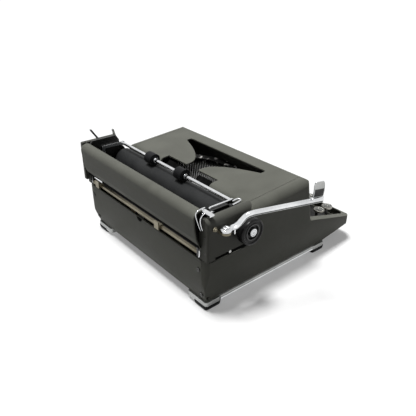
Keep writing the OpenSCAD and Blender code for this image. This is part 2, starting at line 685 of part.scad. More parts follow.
// End frames: plates with the bearings and the pins of the levers
bail_pivot = [128, deck + 43.5];
pin_r = 2;
lever_pin_r = 2.5;
release_pivot = bail_pivot + [0, 10];
paper_pivot = bail_pivot + [-22, 3];
frame_front = front_feed[0] - 5;
right_top = deck + 72;
left_top = deck + 58;
plate_front = [95.5, deck + 47.5];
function plate_outline(top) = concat(
    [[frame_front, deck], [rear_y - 1, deck], [rear_y - 1, deck + 13]], table_inside,
    [[rear_y - 8, top], [plate_front[0] + 5, top], [plate_front[0], top - 8], plate_front,
     plate_front - [4, 4], [frame_front + 2, deck + 41.5], [frame_front, deck + 37.5]]);
module end_plate(top, pins) {
    along_x(plate_in, plate_out) difference() {
        polygon(plate_outline(top));
        translate(platen) circle(shaft_r + run);
        for (p = [front_feed, rear_feed]) translate(p) circle(feed_shaft_r + run);
    }
    rod_x(plate_in - 3.4, plate_in + fuse, bail_pivot, pin_r);
    for (p = pins) rod_x(plate_out - fuse, casing_in - gap, p, lever_pin_r);
}
module right_end_frame() color([0.1, 0.1, 0.1]) place() translate([right_shift, 0, 0])
    end_plate(right_top, [release_pivot, paper_pivot]);
module left_end_frame() color([0.1, 0.1, 0.1]) place() mirror([1, 0, 0])
    end_plate(left_top, [release_pivot]);

// Painted end casings, round on top, open towards the end frames
left_casing_top = deck + 58.8;
right_casing_top = deck + 70.5;
left_casing_front = hood_rear_y + 4.5;
right_casing_front = plate_front[0] + 3.5;
casing_rear = rear_y - 0.5;
casing_t = 1.6;
casing_edge_r = 5;
casing_rear_r = 2.5;
function casing_section(t, inner, top) = let (r = (casing_out - inner) / 2) concat(
    [[inner - inside(t, 5, 0), deck - inside(t, 5, 0)], [casing_out - t, deck - inside(t, 5, 0)]],
    arc([casing_out - r, top - r], r - t, 0, inside(t, 90, 180), 16),
    inside(t, [[inner - 5, top - t]], []));
module casing_box(t, inner, top, front) intersection() {
    along_y(front - 1, casing_rear + 1) polygon(casing_section(t, inner, top));
    translate([0, 0, deck - 10]) linear_extrude(100) polygon(concat(
        [[inner - 10, casing_rear - t], [inner - 10, front + t]],
        arc([casing_out - casing_edge_r, front + casing_edge_r], casing_edge_r - t, -90, 0, 8),
        arc([casing_out - casing_rear_r, casing_rear - casing_rear_r], casing_rear_r - t, 0, 90, 6)));
}
casing_bosses = [[112, deck + 13.5], [140, deck + 27.5]];
module end_casing(inner, top, front) {
    difference() {
        casing_box(0, inner, top, front);
        casing_box(casing_t, inner, top, front);
        rod_x(inner, casing_out + 1, platen, shaft_r + 3);
    }
    for (p = casing_bosses) rod_x(inner - 3, casing_out - casing_t + fuse, p, 4);
}
module right_end_casing() color([0.28, 0.28, 0.26]) place()
    end_casing(casing_in + right_shift, right_casing_top, right_casing_front);
module left_end_casing() color([0.28, 0.28, 0.26]) place() mirror([1, 0, 0])
    end_casing(casing_in, left_casing_top, left_casing_front);

// Paper table: a sheet on the rear edges of the end frames that rolls over at the top
module paper_table() color([0.36, 0.36, 0.34]) place() along_x(-table_half, table_half) polygon(
    concat(table_path(0), table_inside));

// Margin rail with its sliding stops; the centre stop stays on the rear panel
rail_mid = [rear_y - 5, deck + 3.5];
rail_half_t = 2;
module margin_rail() color([0.7, 0.62, 0.48]) place()
    box([-plate_in, rail_mid[0] - rail_half_t, rail_mid[1] - rail_half_t],
        [plate_in + right_shift, rail_mid[0] + rail_half_t, rail_mid[1] + rail_half_t]);
stop_half = 5;
stop_fit = 0.1;
module margin_stop() along_x(-stop_half, stop_half) difference() {
    union() {
        translate(rail_mid - [3.5, 3.4]) square([8, 7.4]);
        translate(rail_mid + [4.5 - fuse, -3]) square([2, 12]);
    }
    translate(rail_mid - (rail_half_t + stop_fit) * [1, 1])
        square(2 * (rail_half_t + stop_fit));
}
left_stop_x = -45;
right_stop_x = 120;
module left_margin_stop() color("silver") place() translate([left_stop_x, 0, 0]) margin_stop();
module right_margin_stop() color("silver") place() translate([right_stop_x, 0, 0]) margin_stop();
module margin_centre_stop() color([0.1, 0.1, 0.1]) place()
    box([-6, rear_y - panel_t - 4, rear_turn_z + 8], [6, rear_y - panel_t, rear_top - 0.5]);

// Paper bail
bail = reach(platen, 89, platen_r + bail_roller_r + gap);
bail_rod_r = 2.5;
bail_arm_t = 2.4;
bail_arm_out = plate_in - 0.4;
bail_roller_w = 16;
bail_roller_x = [-24, 50];
collar_r = 4;
// The arm runs back along the end frame and then down to its pivot
bail_bend = [bail_pivot[0] - 3, bail[1] + 0.5];
module bail_arm() along_x(bail_arm_out - bail_arm_t, bail_arm_out) difference() {
    union() {
        translate(bail) circle(3.5);
        translate(bail_bend) circle(3);
        translate(bail_pivot) circle(4.5);
        polygon([bail - [0, 2], bail_bend - [0, 2], bail_bend + [0, 3], bail + [0, 3]]);
        polygon([bail_bend - [3, 0], bail_pivot - [3, 0], bail_pivot + [3, 0], bail_bend + [3, 0]]);
    }
    translate(bail_pivot) circle(pin_r + run);
}
module paper_bail() color("gainsboro") place() {
    rod_x(-bail_arm_out, bail_arm_out + right_shift, bail, bail_rod_r);
    mirror([1, 0, 0]) bail_arm();
    translate([right_shift, 0, 0]) bail_arm();
    for (x = bail_roller_x, s = [-1, 1]) let (d = bail_roller_w / 2 + gap)
        rod_x(x + (s > 0 ? d : -d - 2), x + (s > 0 ? d + 2 : -d), bail, collar_r);
}
module bail_roller(x) difference() {
    rod_x(x - bail_roller_w / 2, x + bail_roller_w / 2, bail, bail_roller_r);
    rod_x(x - bail_roller_w, x + bail_roller_w, bail, bail_rod_r + run);
}
module left_bail_roller() color([0.1, 0.1, 0.1]) place() bail_roller(bail_roller_x[0]);
module right_bail_roller() color([0.1, 0.1, 0.1]) place() bail_roller(bail_roller_x[1]);

// Return lever on a post beside the left end casing
post_r = 3;
eye_r = 7;
eye_low = deck + 42;
eye_h = 6.5;
post_low = eye_low - 3.5;
bar_h = 7;
bar_mid = hood_h + 4.3;
pad_h = 23;
pad_len = 17;
function on_lever(d) = lever_pivot + d * [-sin(lever_out), -cos(lever_out)];
module lever_pivot_post() color("silver") place() {
    translate([lever_pivot[0], lever_pivot[1], post_low]) {
        cylinder(r = eye_r - 0.5, h = eye_low - gap - post_low);
        cylinder(r = post_r, h = eye_low + eye_h + gap + 1 - post_low);
        translate([0, 0, eye_low + eye_h + gap - post_low])
            cylinder(r1 = eye_r - 1.5, r2 = eye_r - 3, h = 1.6);
    }
    box([lever_pivot[0], lever_pivot[1] - eye_r, post_low],
        [-casing_out, lever_pivot[1] + eye_r, eye_low - gap]);
}
module lever_block(d, side, z, h) let (p = on_lever(d))
    translate([p[0] + side, p[1], z]) rotate([0, 0, -lever_out])
        translate([-lever_t / 2, -1, -h / 2]) cube([lever_t, 2, h]);
module return_lever() color("gainsboro") place() {
    difference() {
        union() {
            translate([lever_pivot[0], lever_pivot[1], eye_low]) cylinder(r = eye_r, h = eye_h);
            hull() {
                lever_block(4, 0, eye_low + eye_h / 2, eye_h);
                lever_block(14, 0, eye_low + eye_h / 2, eye_h);
            }
        }
        translate([lever_pivot[0], lever_pivot[1], 0]) cylinder(r = post_r + run, h = hood_h * 2);
    }
    hull() {
        lever_block(14, 0, eye_low + eye_h / 2, eye_h);
        lever_block(30, 0, bar_mid, bar_h);
    }
    hull() {
        lever_block(30, 0, bar_mid, bar_h);
        lever_block(lever_reach - 1, 0, bar_mid, bar_h);
    }
    hull() {
        lever_block(lever_reach - 1, 0, bar_mid + pad_h / 2, pad_h + bar_h);
        lever_block(lever_reach - pad_len, 0, bar_mid + pad_h / 2 + 1, pad_h + bar_h - 2);
    }
}

// Small levers between the end frames and the end casings
small_t = casing_in - plate_out - 2 * gap;
module small_lever(pivot, points, wide) along_x(plate_out + gap, plate_out + gap + small_t)
    difference() {
        union() {
            translate(pivot) circle(4.5);
            for (i = [0:len(points) - 2]) let (a = points[i], b = points[i + 1])
                translate(a) rotate(atan2(b[1] - a[1], b[0] - a[0]))
                    translate([0, -wide / 2]) square([norm(b - a), wide]);
            for (i = [1:len(points) - 1]) translate(points[i]) circle(wide / 2);
        }
        translate(pivot) circle(lever_pin_r + run);
    }
module right_carriage_release() color("silver") place() translate([right_shift, 0, 0])
    small_lever(release_pivot, [release_pivot, release_pivot + [3, 20], release_pivot + [13, 35]], 3);
// The left one ends in a tab that is bent out over the end casing
tab_end = release_pivot + [14, 10];
module left_carriage_release() color("gainsboro") place() mirror([1, 0, 0]) {
    small_lever(release_pivot, [release_pivot, release_pivot + [8, 3], tab_end], 4);
    box([plate_out + gap, tab_end[0] - 4, tab_end[1] - 1], [casing_out - 1, tab_end[0] + 3, tab_end[1] + 1]);
}
module paper_release_lever() color("silver") place() translate([right_shift, 0, 0])
    small_lever(paper_pivot, [paper_pivot, paper_pivot + [-8, 15], paper_pivot + [-3, 34]], 3.5);

body_shell();
rear_panel();
rear_panel_screws();
base_trim();
foot_brackets();
rubber_feet();
side_frames();
carriage_bed();
margin_centre_stop();
key_fulcrum_rod();
type_segment();
typebar_wire();
typebars();
type_rest();
type_guide();
ribbon_cups();
cover_hinge_pins();
bell();
top_cover();
left_ribbon_spool();
right_ribbon_spool();
ribbon_vibrator();
mainspring_drum();
escapement_pinion();
number_row_keys();
upper_row_keys();
home_row_keys();
lower_row_keys();
strike_key();
active_typebar();
space_bar();
shift_keys();
tab_key();
backspace_key();
carriage_beam();
escapement_rack();
left_end_frame();
right_end_frame();
left_end_casing();
right_end_casing();
paper_table();
margin_rail();
lever_pivot_post();
platen_roller();
platen_shaft();
left_knob();
right_knob();
line_space_ratchet();
variable_spacer_button();
front_feed_roller();
rear_feed_roller();
paper_bail();
left_bail_roller();
right_bail_roller();
return_lever();
left_margin_stop();
right_margin_stop();
left_carriage_release();
right_carriage_release();
paper_release_lever();
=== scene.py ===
"""Looks of the portable typewriter: materials, dressed pieces, studio and camera."""
import json
import math

import bmesh
import bpy
from mathutils import Matrix, Vector


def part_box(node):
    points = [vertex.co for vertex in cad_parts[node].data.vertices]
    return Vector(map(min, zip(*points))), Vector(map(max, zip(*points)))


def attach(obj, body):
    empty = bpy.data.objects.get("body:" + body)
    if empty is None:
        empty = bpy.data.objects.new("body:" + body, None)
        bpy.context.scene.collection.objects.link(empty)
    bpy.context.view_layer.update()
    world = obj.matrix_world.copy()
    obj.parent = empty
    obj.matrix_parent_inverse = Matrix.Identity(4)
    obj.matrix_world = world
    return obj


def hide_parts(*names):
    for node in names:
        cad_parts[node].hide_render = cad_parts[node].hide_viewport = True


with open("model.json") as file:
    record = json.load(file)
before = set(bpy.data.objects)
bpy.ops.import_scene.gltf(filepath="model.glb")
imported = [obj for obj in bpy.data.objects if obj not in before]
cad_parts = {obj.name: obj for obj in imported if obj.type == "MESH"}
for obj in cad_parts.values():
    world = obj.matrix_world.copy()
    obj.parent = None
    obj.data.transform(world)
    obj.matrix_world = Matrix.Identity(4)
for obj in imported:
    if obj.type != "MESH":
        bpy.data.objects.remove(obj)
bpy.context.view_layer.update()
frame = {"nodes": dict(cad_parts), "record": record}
NODES = frame["nodes"]
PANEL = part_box("rear_panel")
PANEL_Y = 150.0
# Machine millimetres to the row frame: the rear panel is centred, and its back is at PANEL_Y
SHIFT = Vector(((PANEL[0][0] + PANEL[1][0]) * 500.0, PANEL[1][1] * 1000.0 - PANEL_Y, 0.0))
RIGHT, BACK, UP = (1, 0, 0), (0, 1, 0), (0, 0, 1)


def at(x, y, z):
    """A point of the machine, in millimetres, as a point of the row frame in metres."""
    return (Vector((x, y, z)) + SHIFT) * 0.001


def machine(point):
    """A point of the row frame, in metres, as a point of the machine in millimetres."""
    return point * 1000 - SHIFT


# Shader helpers

COLOUR_SPAN = (0.45, 1.05)      # noise values of a finish's dark and light colours
ROUGH_SPAN = (0.12, 0.42)       # noise values of its least and most roughness
WEAR_SPAN = (0.995, 0.86)       # cosines across a rounded edge, from no wear to full wear
BUMP_STRENGTH = 0.6
CRINKLE_SCALE = 0.7             # cells of crinkle paint, as a part of the grain


def node(tree, kind, links=None, **props):
    """Adds one shader node; links maps socket names to values or to other nodes' outputs."""
    item = tree.nodes.new("ShaderNode" + kind)
    for key, value in props.items():
        setattr(item, key, value)
    for key, value in (links or {}).items():
        socket = item.inputs[key]
        if isinstance(value, bpy.types.NodeSocket):
            tree.links.new(value, socket)
        else:
            socket.default_value = value
    return item


def empty_tree(owner):
    """Gives a material or a world an empty node tree."""
    owner.use_nodes = True
    owner.node_tree.nodes.clear()
    return owner.node_tree


def rgba(colour):
    return (*colour, 1.0)


def ramp(tree, factor, stops):
    """A colour ramp over a factor, from (position, colour) stops."""
    item = node(tree, "ValToRGB", {"Fac": factor})
    points = item.color_ramp.elements
    while len(points) < len(stops):
        points.new(0.5)
    for point, (place, colour) in zip(points, stops):
        point.position = place
        point.color = rgba(colour)
    return item.outputs["Color"]


def noise(tree, vector, scale, detail=4.0, distortion=0.0):
    return node(tree, "TexNoise", {"Vector": vector, "Scale": scale, "Detail": detail,
                                   "Distortion": distortion}).outputs["Fac"]


def edge_wear(tree, colour, rounded, fine, wear, amount):
    """The colour with another one worn through it where edges are rounded."""
    flat = node(tree, "NewGeometry").outputs["Normal"]
    facing = node(tree, "VectorMath", {0: rounded, 1: flat}, operation="DOT_PRODUCT")
    rim = node(tree, "MapRange", {"Value": facing.outputs["Value"], "From Min": WEAR_SPAN[0],
                                  "From Max": WEAR_SPAN[1], "To Min": 0.0, "To Max": amount})
    worn = node(tree, "Math", {0: rim.outputs["Result"], 1: fine}, operation="MULTIPLY")
    return node(tree, "MixRGB", {"Fac": worn.outputs[0], "Color1": colour,
                                 "Color2": rgba(wear)}).outputs["Color"]


def surface(name, dark, light, rough, metal=0.0, patch=28.0, grain=900.0, depth=0.00005,
            stretch=(1.0, 1.0, 1.0), edge=0.0006, wear=None, wear_amount=0.5, spec=0.5,
            coat=0.0, cells=False):
    """A finish with patchy colour, uneven roughness, fine relief, soft edges and edge wear."""
    mat = bpy.data.materials.new(name)
    tree = empty_tree(mat)
    place = node(tree, "TexCoord").outputs["Object"]
    along = node(tree, "Mapping", {"Vector": place, "Scale": stretch}).outputs["Vector"]
    soft = noise(tree, place, patch, 5.0, 0.4)
    fine = noise(tree, along, grain, 3.0, 0.8)
    both = node(tree, "Math", {0: soft, 1: fine}, operation="MULTIPLY").outputs[0]
    colour = ramp(tree, node(tree, "Math", {0: both, 1: soft}, operation="ADD").outputs[0],
                  list(zip(COLOUR_SPAN, (dark, light))))
    rounded = node(tree, "Bevel", {"Radius": edge}, samples=4).outputs["Normal"]
    if wear:
        colour = edge_wear(tree, colour, rounded, fine, wear, wear_amount)
    uneven = node(tree, "MapRange", {
        "Value": both, "From Min": ROUGH_SPAN[0], "From Max": ROUGH_SPAN[1],
        "To Min": rough[0], "To Max": rough[1]}).outputs["Result"]
    relief = fine
    if cells:
        relief = node(tree, "TexVoronoi", {"Vector": place, "Scale": grain * CRINKLE_SCALE},
                      feature="SMOOTH_F1").outputs["Distance"]
    bump = node(tree, "Bump", {"Height": relief, "Distance": depth, "Strength": BUMP_STRENGTH,
                               "Normal": rounded}).outputs["Normal"]
    shade = node(tree, "BsdfPrincipled", {
        "Base Color": colour, "Roughness": uneven, "Metallic": metal, "Normal": bump,
        "Specular IOR Level": spec, "Coat Weight": coat})
    node(tree, "OutputMaterial", {"Surface": shade.outputs["BSDF"]})
    return mat


def glass(name):
    """Clear glass with faint smears."""
    mat = bpy.data.materials.new(name)
    tree = empty_tree(mat)
    place = node(tree, "TexCoord").outputs["Object"]
    smear = node(tree, "MapRange", {"Value": noise(tree, place, 160.0), "To Min": 0.02,
                                    "To Max": 0.12}).outputs["Result"]
    shade = node(tree, "BsdfPrincipled", {
        "Base Color": (0.97, 0.98, 0.96, 1.0), "Roughness": smear, "IOR": 1.35,
        "Transmission Weight": 1.0})
    node(tree, "OutputMaterial", {"Surface": shade.outputs["BSDF"]})
    return mat


def darken_above(mat, height, blend, shade_colour, steel_spot_colour):
    """Gives a finish other colours above a height of its object: painted shade, with spots of a
    steel colour.
    """
    tree = mat.node_tree
    shade = next(item for item in tree.nodes if item.type == "BSDF_PRINCIPLED")
    base = shade.inputs["Base Color"].links[0].from_socket
    place = node(tree, "TexCoord").outputs["Object"]
    rise = node(tree, "SeparateXYZ", {"Vector": place}).outputs["Z"]
    part = node(tree, "MapRange", {"Value": rise, "From Min": height - blend,
                                   "From Max": height + blend}).outputs["Result"]
    spots = ramp(tree, noise(tree, place, 130.0), [(0.56, shade_colour), (0.66, steel_spot_colour)])
    both = node(tree, "MixRGB", {"Fac": part, "Color1": base, "Color2": spots})
    tree.links.new(both.outputs["Color"], shade.inputs["Base Color"])


# Finishes; their lengths are metres

PAINT = surface("olive_crinkle_paint", (0.1055, 0.1074, 0.0912), (0.1453, 0.1477, 0.1273),
                (0.48, 0.66), patch=16, grain=1500, depth=0.00012, edge=0.0012,
                wear=(0.31, 0.31, 0.27), wear_amount=0.55, spec=0.14, cells=True)
CASING = surface("dark_crinkle_paint", (0.074, 0.075, 0.065), (0.103, 0.104, 0.091),
                 (0.48, 0.66), patch=16, grain=1500, depth=0.00012, edge=0.0012,
                 wear=(0.22, 0.22, 0.19), wear_amount=0.4, spec=0.14, cells=True)
ENAMEL = surface("black_enamel", (0.006, 0.006, 0.006), (0.014, 0.014, 0.013), (0.28, 0.44),
                 grain=500, depth=0.00002, wear=(0.12, 0.11, 0.10), spec=0.35, coat=0.1)
CHROME = surface("bright_chrome", (0.56, 0.57, 0.58), (0.80, 0.81, 0.82), (0.06, 0.18), 1.0,
                 grain=300, depth=0.000006, edge=0.0005)
ALLOY = surface("dull_alloy", (0.32, 0.33, 0.325), (0.48, 0.485, 0.475), (0.34, 0.52), 0.9,
                grain=700, depth=0.00003, edge=0.0008)
NICKEL = surface("warm_nickel", (0.15, 0.135, 0.095), (0.27, 0.245, 0.185), (0.30, 0.48), 1.0,
                 grain=700, depth=0.00002, stretch=(0.04, 1, 1), wear=(0.42, 0.39, 0.31))
STEEL = surface("ground_steel", (0.42, 0.42, 0.41), (0.68, 0.68, 0.67), (0.20, 0.38), 1.0,
                grain=900, depth=0.00001, stretch=(1, 0.1, 1), edge=0.0003)
BLUED = surface("dark_screw_steel", (0.025, 0.025, 0.025), (0.08, 0.08, 0.078), (0.34, 0.52),
                0.9, grain=900, depth=0.00002, edge=0.0003, wear=(0.30, 0.29, 0.28))
CAST = surface("machined_casting", (0.05, 0.05, 0.05), (0.11, 0.11, 0.11), (0.38, 0.56), 0.7,
               grain=600, depth=0.00006)
BRASS = surface("turned_brass", (0.45, 0.32, 0.13), (0.66, 0.50, 0.24), (0.20, 0.36), 1.0,
                grain=800, depth=0.00001, stretch=(1, 1, 8))
RUBBER = surface("black_rubber", (0.008, 0.0085, 0.009), (0.017, 0.0175, 0.019), (0.52, 0.70),
                 grain=1100, depth=0.00003, stretch=(0.3, 1, 1), spec=0.10)
WORN_RUBBER = surface("worn_rubber", (0.019, 0.020, 0.0205), (0.033, 0.034, 0.0345),
                      (0.52, 0.70), grain=1100, depth=0.00003, stretch=(0.3, 1, 1), spec=0.12)
PLASTIC = surface("moulded_black", (0.006, 0.006, 0.006), (0.013, 0.013, 0.013), (0.24, 0.38),
                  grain=420, depth=0.00002, edge=0.0004, wear=(0.08, 0.08, 0.08), spec=0.17)
FELT = surface("dark_felt", (0.010, 0.009, 0.009), (0.045, 0.041, 0.038), (0.86, 0.96),
               patch=120, grain=1600, depth=0.0003, spec=0.2)
# Painted shade: this near black stands in for shadow on the casing edge strips, the table edge
# strip and the ribbon shields
DULL_BLACK = surface("dull_black", (0.003, 0.003, 0.003), (0.010, 0.010, 0.010), (0.88, 0.97),
                     patch=120, grain=1600, depth=0.0003, spec=0.02)
TYPE_STEEL = surface("shaded_type_steel", (0.46, 0.46, 0.45), (0.74, 0.74, 0.73), (0.24, 0.42),
                     1.0, grain=900, depth=0.00001, edge=0.0003)
TYPE_HEAD_Z = 0.1115        # the type heads lie above this height at rest
TYPE_HEAD_BLEND = 0.001
# Painted shade: above this height the type heads turn near black, standing in for the shade under
# the hood, with spots of a steel colour
darken_above(TYPE_STEEL, TYPE_HEAD_Z, TYPE_HEAD_BLEND, (0.022, 0.022, 0.021),
             (0.62, 0.61, 0.58))
RIM = surface("dull_key_rim", (0.20, 0.195, 0.175), (0.34, 0.33, 0.30), (0.26, 0.42), 1.0,
              grain=600, depth=0.00001, edge=0.0003)
DISC = surface("key_disc", (0.030, 0.029, 0.025), (0.055, 0.053, 0.046), (0.40, 0.55),
               grain=600, depth=0.00001)
LEGEND = surface("key_legend", (0.50, 0.48, 0.40), (0.62, 0.60, 0.52), (0.45, 0.60),
                 grain=900, depth=0.00001)
GLASS = glass("key_glass")
RIBBON = surface("black_ribbon", (0.010, 0.010, 0.011), (0.026, 0.026, 0.028), (0.62, 0.80),
                 grain=2200, depth=0.00008, stretch=(1, 1, 0.2))
RED_RIBBON = surface("red_ribbon", (0.16, 0.016, 0.012), (0.26, 0.030, 0.022), (0.62, 0.80),
                     grain=2200, depth=0.00008, stretch=(1, 1, 0.2))

BY_SLOT = {
    "crinkle_paint": PAINT, "black_enamel": ENAMEL, "chrome": CHROME, "nickel": NICKEL,
    "steel": STEEL, "cast": CAST, "brass": BRASS, "rubber": RUBBER, "black_plastic": PLASTIC,
    "key": BLUED, "felt": FELT,
}
# Nodes whose finish differs from the one of their slot
BY_NODE = {"foot_brackets": ALLOY, "base_trim": ALLOY, "rear_panel_screws": BLUED,
           "left_end_casing": CASING, "right_end_casing": CASING, "platen_roller": WORN_RUBBER,
           "typebars": TYPE_STEEL, "active_typebar": TYPE_STEEL}


def finish_nodes():
    for part in frame["record"]["subparts"]:
        mesh = NODES[part["node"]].data
        mesh.materials.clear()
        mesh.materials.append(BY_NODE.get(part["node"], BY_SLOT[part["material_slot"]]))


finish_nodes()


# Mesh helpers; points and lengths are machine millimetres

WIRE_SIDES = 12
HEAD_SIDES = 36


def spaced(start, end, steps):
    """Evenly spaced values, both ends included."""
    return [start + (end - start) * k / steps for k in range(steps + 1)]


def circle(count):
    """Angles once around, in radians."""
    return [2 * math.pi * k / count for k in range(count)]


def arc(start, sweep, steps):
    """Angles of an arc in radians, from a start and a sweep in degrees."""
    return [math.radians(start + sweep * k / steps) for k in range(steps + 1)]


def oval(half_w, half_h, power, count):
    """Points of a soft-cornered rectangle."""
    points = []
    for a in circle(count):
        c, s = math.cos(a), math.sin(a)
        points.append((half_w * math.copysign(abs(c) ** (2 / power), c),
                       half_h * math.copysign(abs(s) ** (2 / power), s)))
    return points


def basis(axis):
    """A turn that takes +Z to the given axis."""
    return Vector(UP).rotation_difference(Vector(axis)).to_matrix()


def lathe(bm, profile, centre, axis, count=48, mat=0, ripple=None):
    """Turns (radius, height) points about an axis through a centre; returns rings of vertices."""
    turn = basis(axis)
    rings = []
    for r, h in profile:
        ring = []
        for a in circle(count if r > 1e-6 else 1):
            rr = r + (ripple(r, a) if ripple else 0.0)
            p = turn @ Vector((rr * math.cos(a), rr * math.sin(a), h))
            ring.append(bm.verts.new(at(*(Vector(centre) + p))))
        rings.append(ring)
    for low, high in zip(rings, rings[1:]):
        for k in range(count):
            n = (k + 1) % count
            quad = [low[k % len(low)], low[n % len(low)], high[n % len(high)],
                    high[k % len(high)]]
            quad = list(dict.fromkeys(quad))
            if len(quad) > 2:
                bm.faces.new(quad).material_index = mat
    return rings


def band(bm, low, high, mat=0):
    """Joins two closed loops of vertices."""
    for k in range(len(low)):
        n = (k + 1) % len(low)
        bm.faces.new((low[k], low[n], high[n], high[k])).material_index = mat


def loft(bm, rings, mat=0):
    """Skins closed rings of points and caps both ends."""
    made = [[bm.verts.new(at(*p)) for p in ring] for ring in rings]
    for low, high in zip(made, made[1:]):
        band(bm, low, high, mat)
    bm.faces.new(made[0][::-1]).material_index = mat
    bm.faces.new(made[-1]).material_index = mat


def sheet(bm, rows, finish=lambda row, column: 0):
    """Faces over a grid of vertices; finish gives each face's material."""
    for j, (a, b) in enumerate(zip(rows, rows[1:])):
        for k in range(len(a) - 1):
            bm.faces.new((a[k], a[k + 1], b[k + 1], b[k])).material_index = finish(j, k)


def border(rows):
    """The loop of vertices around a grid."""
    return (rows[0] + [row[-1] for row in rows[1:]] + rows[-1][-2::-1]
            + [row[0] for row in rows[-2:0:-1]])


def slab(bm, xs, ys, height, thick, spread=lambda y: 1.0):
    """A sheet of even thickness; at a y, height gives its upper side and spread its width."""
    top = [[bm.verts.new(at(x * spread(y), y, height(y))) for x in xs] for y in ys]
    low = [[bm.verts.new(at(x * spread(y), y, height(y) - thick)) for x in xs] for y in ys]
    sheet(bm, top)
    sheet(bm, low)
    band(bm, border(top), border(low))


def wire(bm, points, r):
    """A round wire with soft bends through points."""
    path = [Vector(p) for p in points]
    for _ in range(3):
        soft = [path[0]]
        for p, q in zip(path, path[1:]):
            soft += [p.lerp(q, 0.25), p.lerp(q, 0.75)]
        path = soft + [path[-1]]
    start = (path[1] - path[0]).normalized()
    side = Vector(RIGHT) if abs(start.x) < 0.8 else Vector(BACK)
    rings = []
    for k, p in enumerate(path):
        ahead = (path[min(k + 1, len(path) - 1)] - path[max(k - 1, 0)]).normalized()
        side = (side - ahead * side.dot(ahead)).normalized()
        other = ahead.cross(side)
        rings.append([p + r * (math.cos(a) * side + math.sin(a) * other)
                      for a in circle(WIRE_SIDES)])
    loft(bm, rings)


def slotted_head(bm, centre, axis, r, h, mat=0):
    """A low round screw head with a slot across it."""
    floor = h * 0.45
    profile = [(0, 0), (r, 0), (r, floor), (r * 0.86, h * 0.85), (r * 0.5, h), (r * 0.2, h),
               (0, h)]
    turn = basis(axis)
    for ring in lathe(bm, profile, centre, axis, HEAD_SIDES, mat):
        for v in ring:
            local = turn.inverted() @ (machine(v.co) - Vector(centre))
            if abs(local.y) < r * 0.16 and local.z > h * 0.8:
                v.co = at(*(Vector(centre) + turn @ Vector((local.x, local.y, floor))))


def piece(name, bm, mats, body, replaces=(), sharp=38.0):
    """Makes an object of the mesh, shaded smooth by angle, that rides on a body."""
    bmesh.ops.recalc_face_normals(bm, faces=bm.faces)
    for face in bm.faces:
        face.smooth = True
    for edge in bm.edges:
        if len(edge.link_faces) == 2:
            edge.smooth = edge.calc_face_angle(0.0) < math.radians(sharp)
    mesh = bpy.data.meshes.new(name)
    bm.to_mesh(mesh)
    bm.free()
    for mat in mats:
        mesh.materials.append(mat)
    obj = bpy.data.objects.new(name, mesh)
    bpy.context.scene.collection.objects.link(obj)
    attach(obj, body)
    if replaces:
        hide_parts(*replaces)


def lofted(name, rings, mats, body):
    """A piece that is one loft."""
    bm = bmesh.new()
    loft(bm, rings)
    piece(name, bm, mats, body)


def wired(name, r, body, *paths):
    """A piece of plated wires."""
    bm = bmesh.new()
    for path in paths:
        wire(bm, path, r)
    piece(name, bm, [CHROME], body)


# Key tops: plated ring, dark disc with its legend, and a glass lens

KEY_MATS = [RIM, DISC, LEGEND, GLASS]
RING_MAT, DISC_MAT, LEGEND_MAT, LENS_MAT = range(4)
KEY_SIDES = 32
KEY_R = 7.25
SIDE_KEY_R = 8.0
LEGEND_SIZE = 6.2
WORD_SIZE = 2.6
LEGEND_RISE = 0.06          # legends lie this far above the cap's flat top
PITCH = 19.0
MIDDLE_COLUMN = 5
ROW_BODIES = ["number_row", "upper_row", "home_row", "lower_row"]
ROW_Y = [-74, -93, -112, -131]
ROW_TOP = [75.0, 69.5, 64.0, 58.5]
STAGGER = [-0.5, 0.0, 0.25, 0.75]       # in pitches, to the right
# From the left; where a key has two characters, the second one stands above the first
LEGENDS = [[low + high for low, high in zip("234567890-=", "\"#$%_&'()*+")],
           [*"QWERTYUIOP", "?!"], [*"ASDFGHJKL;"], [*"ZXCVBNM,./"]]
STRIKE_KEY = (2, 5)         # row and column of the key that moves on its own
SIDE_KEY_TOP = ROW_TOP[2]
SHIFT_X, SHIFT_Y = 127.5, ROW_Y[2] - 3
TAB_X, TAB_Y = 126.5, ROW_Y[1] - 4


def glyphs(words, height):
    """Flat mesh of a short legend, as (points, polygons), centred on its own middle."""
    curve = bpy.data.curves.new("legend", "FONT")
    curve.body = words
    curve.size = height
    curve.resolution_u = 2
    curve.align_x = "CENTER"
    holder = bpy.data.objects.new("legend", curve)
    bpy.context.scene.collection.objects.link(holder)
    bpy.context.view_layer.update()
    mesh = holder.evaluated_get(bpy.context.evaluated_depsgraph_get()).to_mesh()
    points = [v.co.copy() for v in mesh.vertices]
    faces = [list(p.vertices) for p in mesh.polygons]
    bpy.data.objects.remove(holder)
    bpy.data.curves.remove(curve)
    mid_x = (min(p.x for p in points) + max(p.x for p in points)) / 2
    mid_y = (min(p.y for p in points) + max(p.y for p in points)) / 2
    return [Vector((p.x - mid_x, p.y - mid_y, 0)) for p in points], faces


def put_legend(bm, words, height, centre):
    points, faces = glyphs(words, height)
    made = [bm.verts.new(at(*(Vector(centre) + p))) for p in points]
    for face in faces:
        try:
            bm.faces.new([made[k] for k in face]).material_index = LEGEND_MAT
        except ValueError:      # the font's outline gave this face twice
            pass


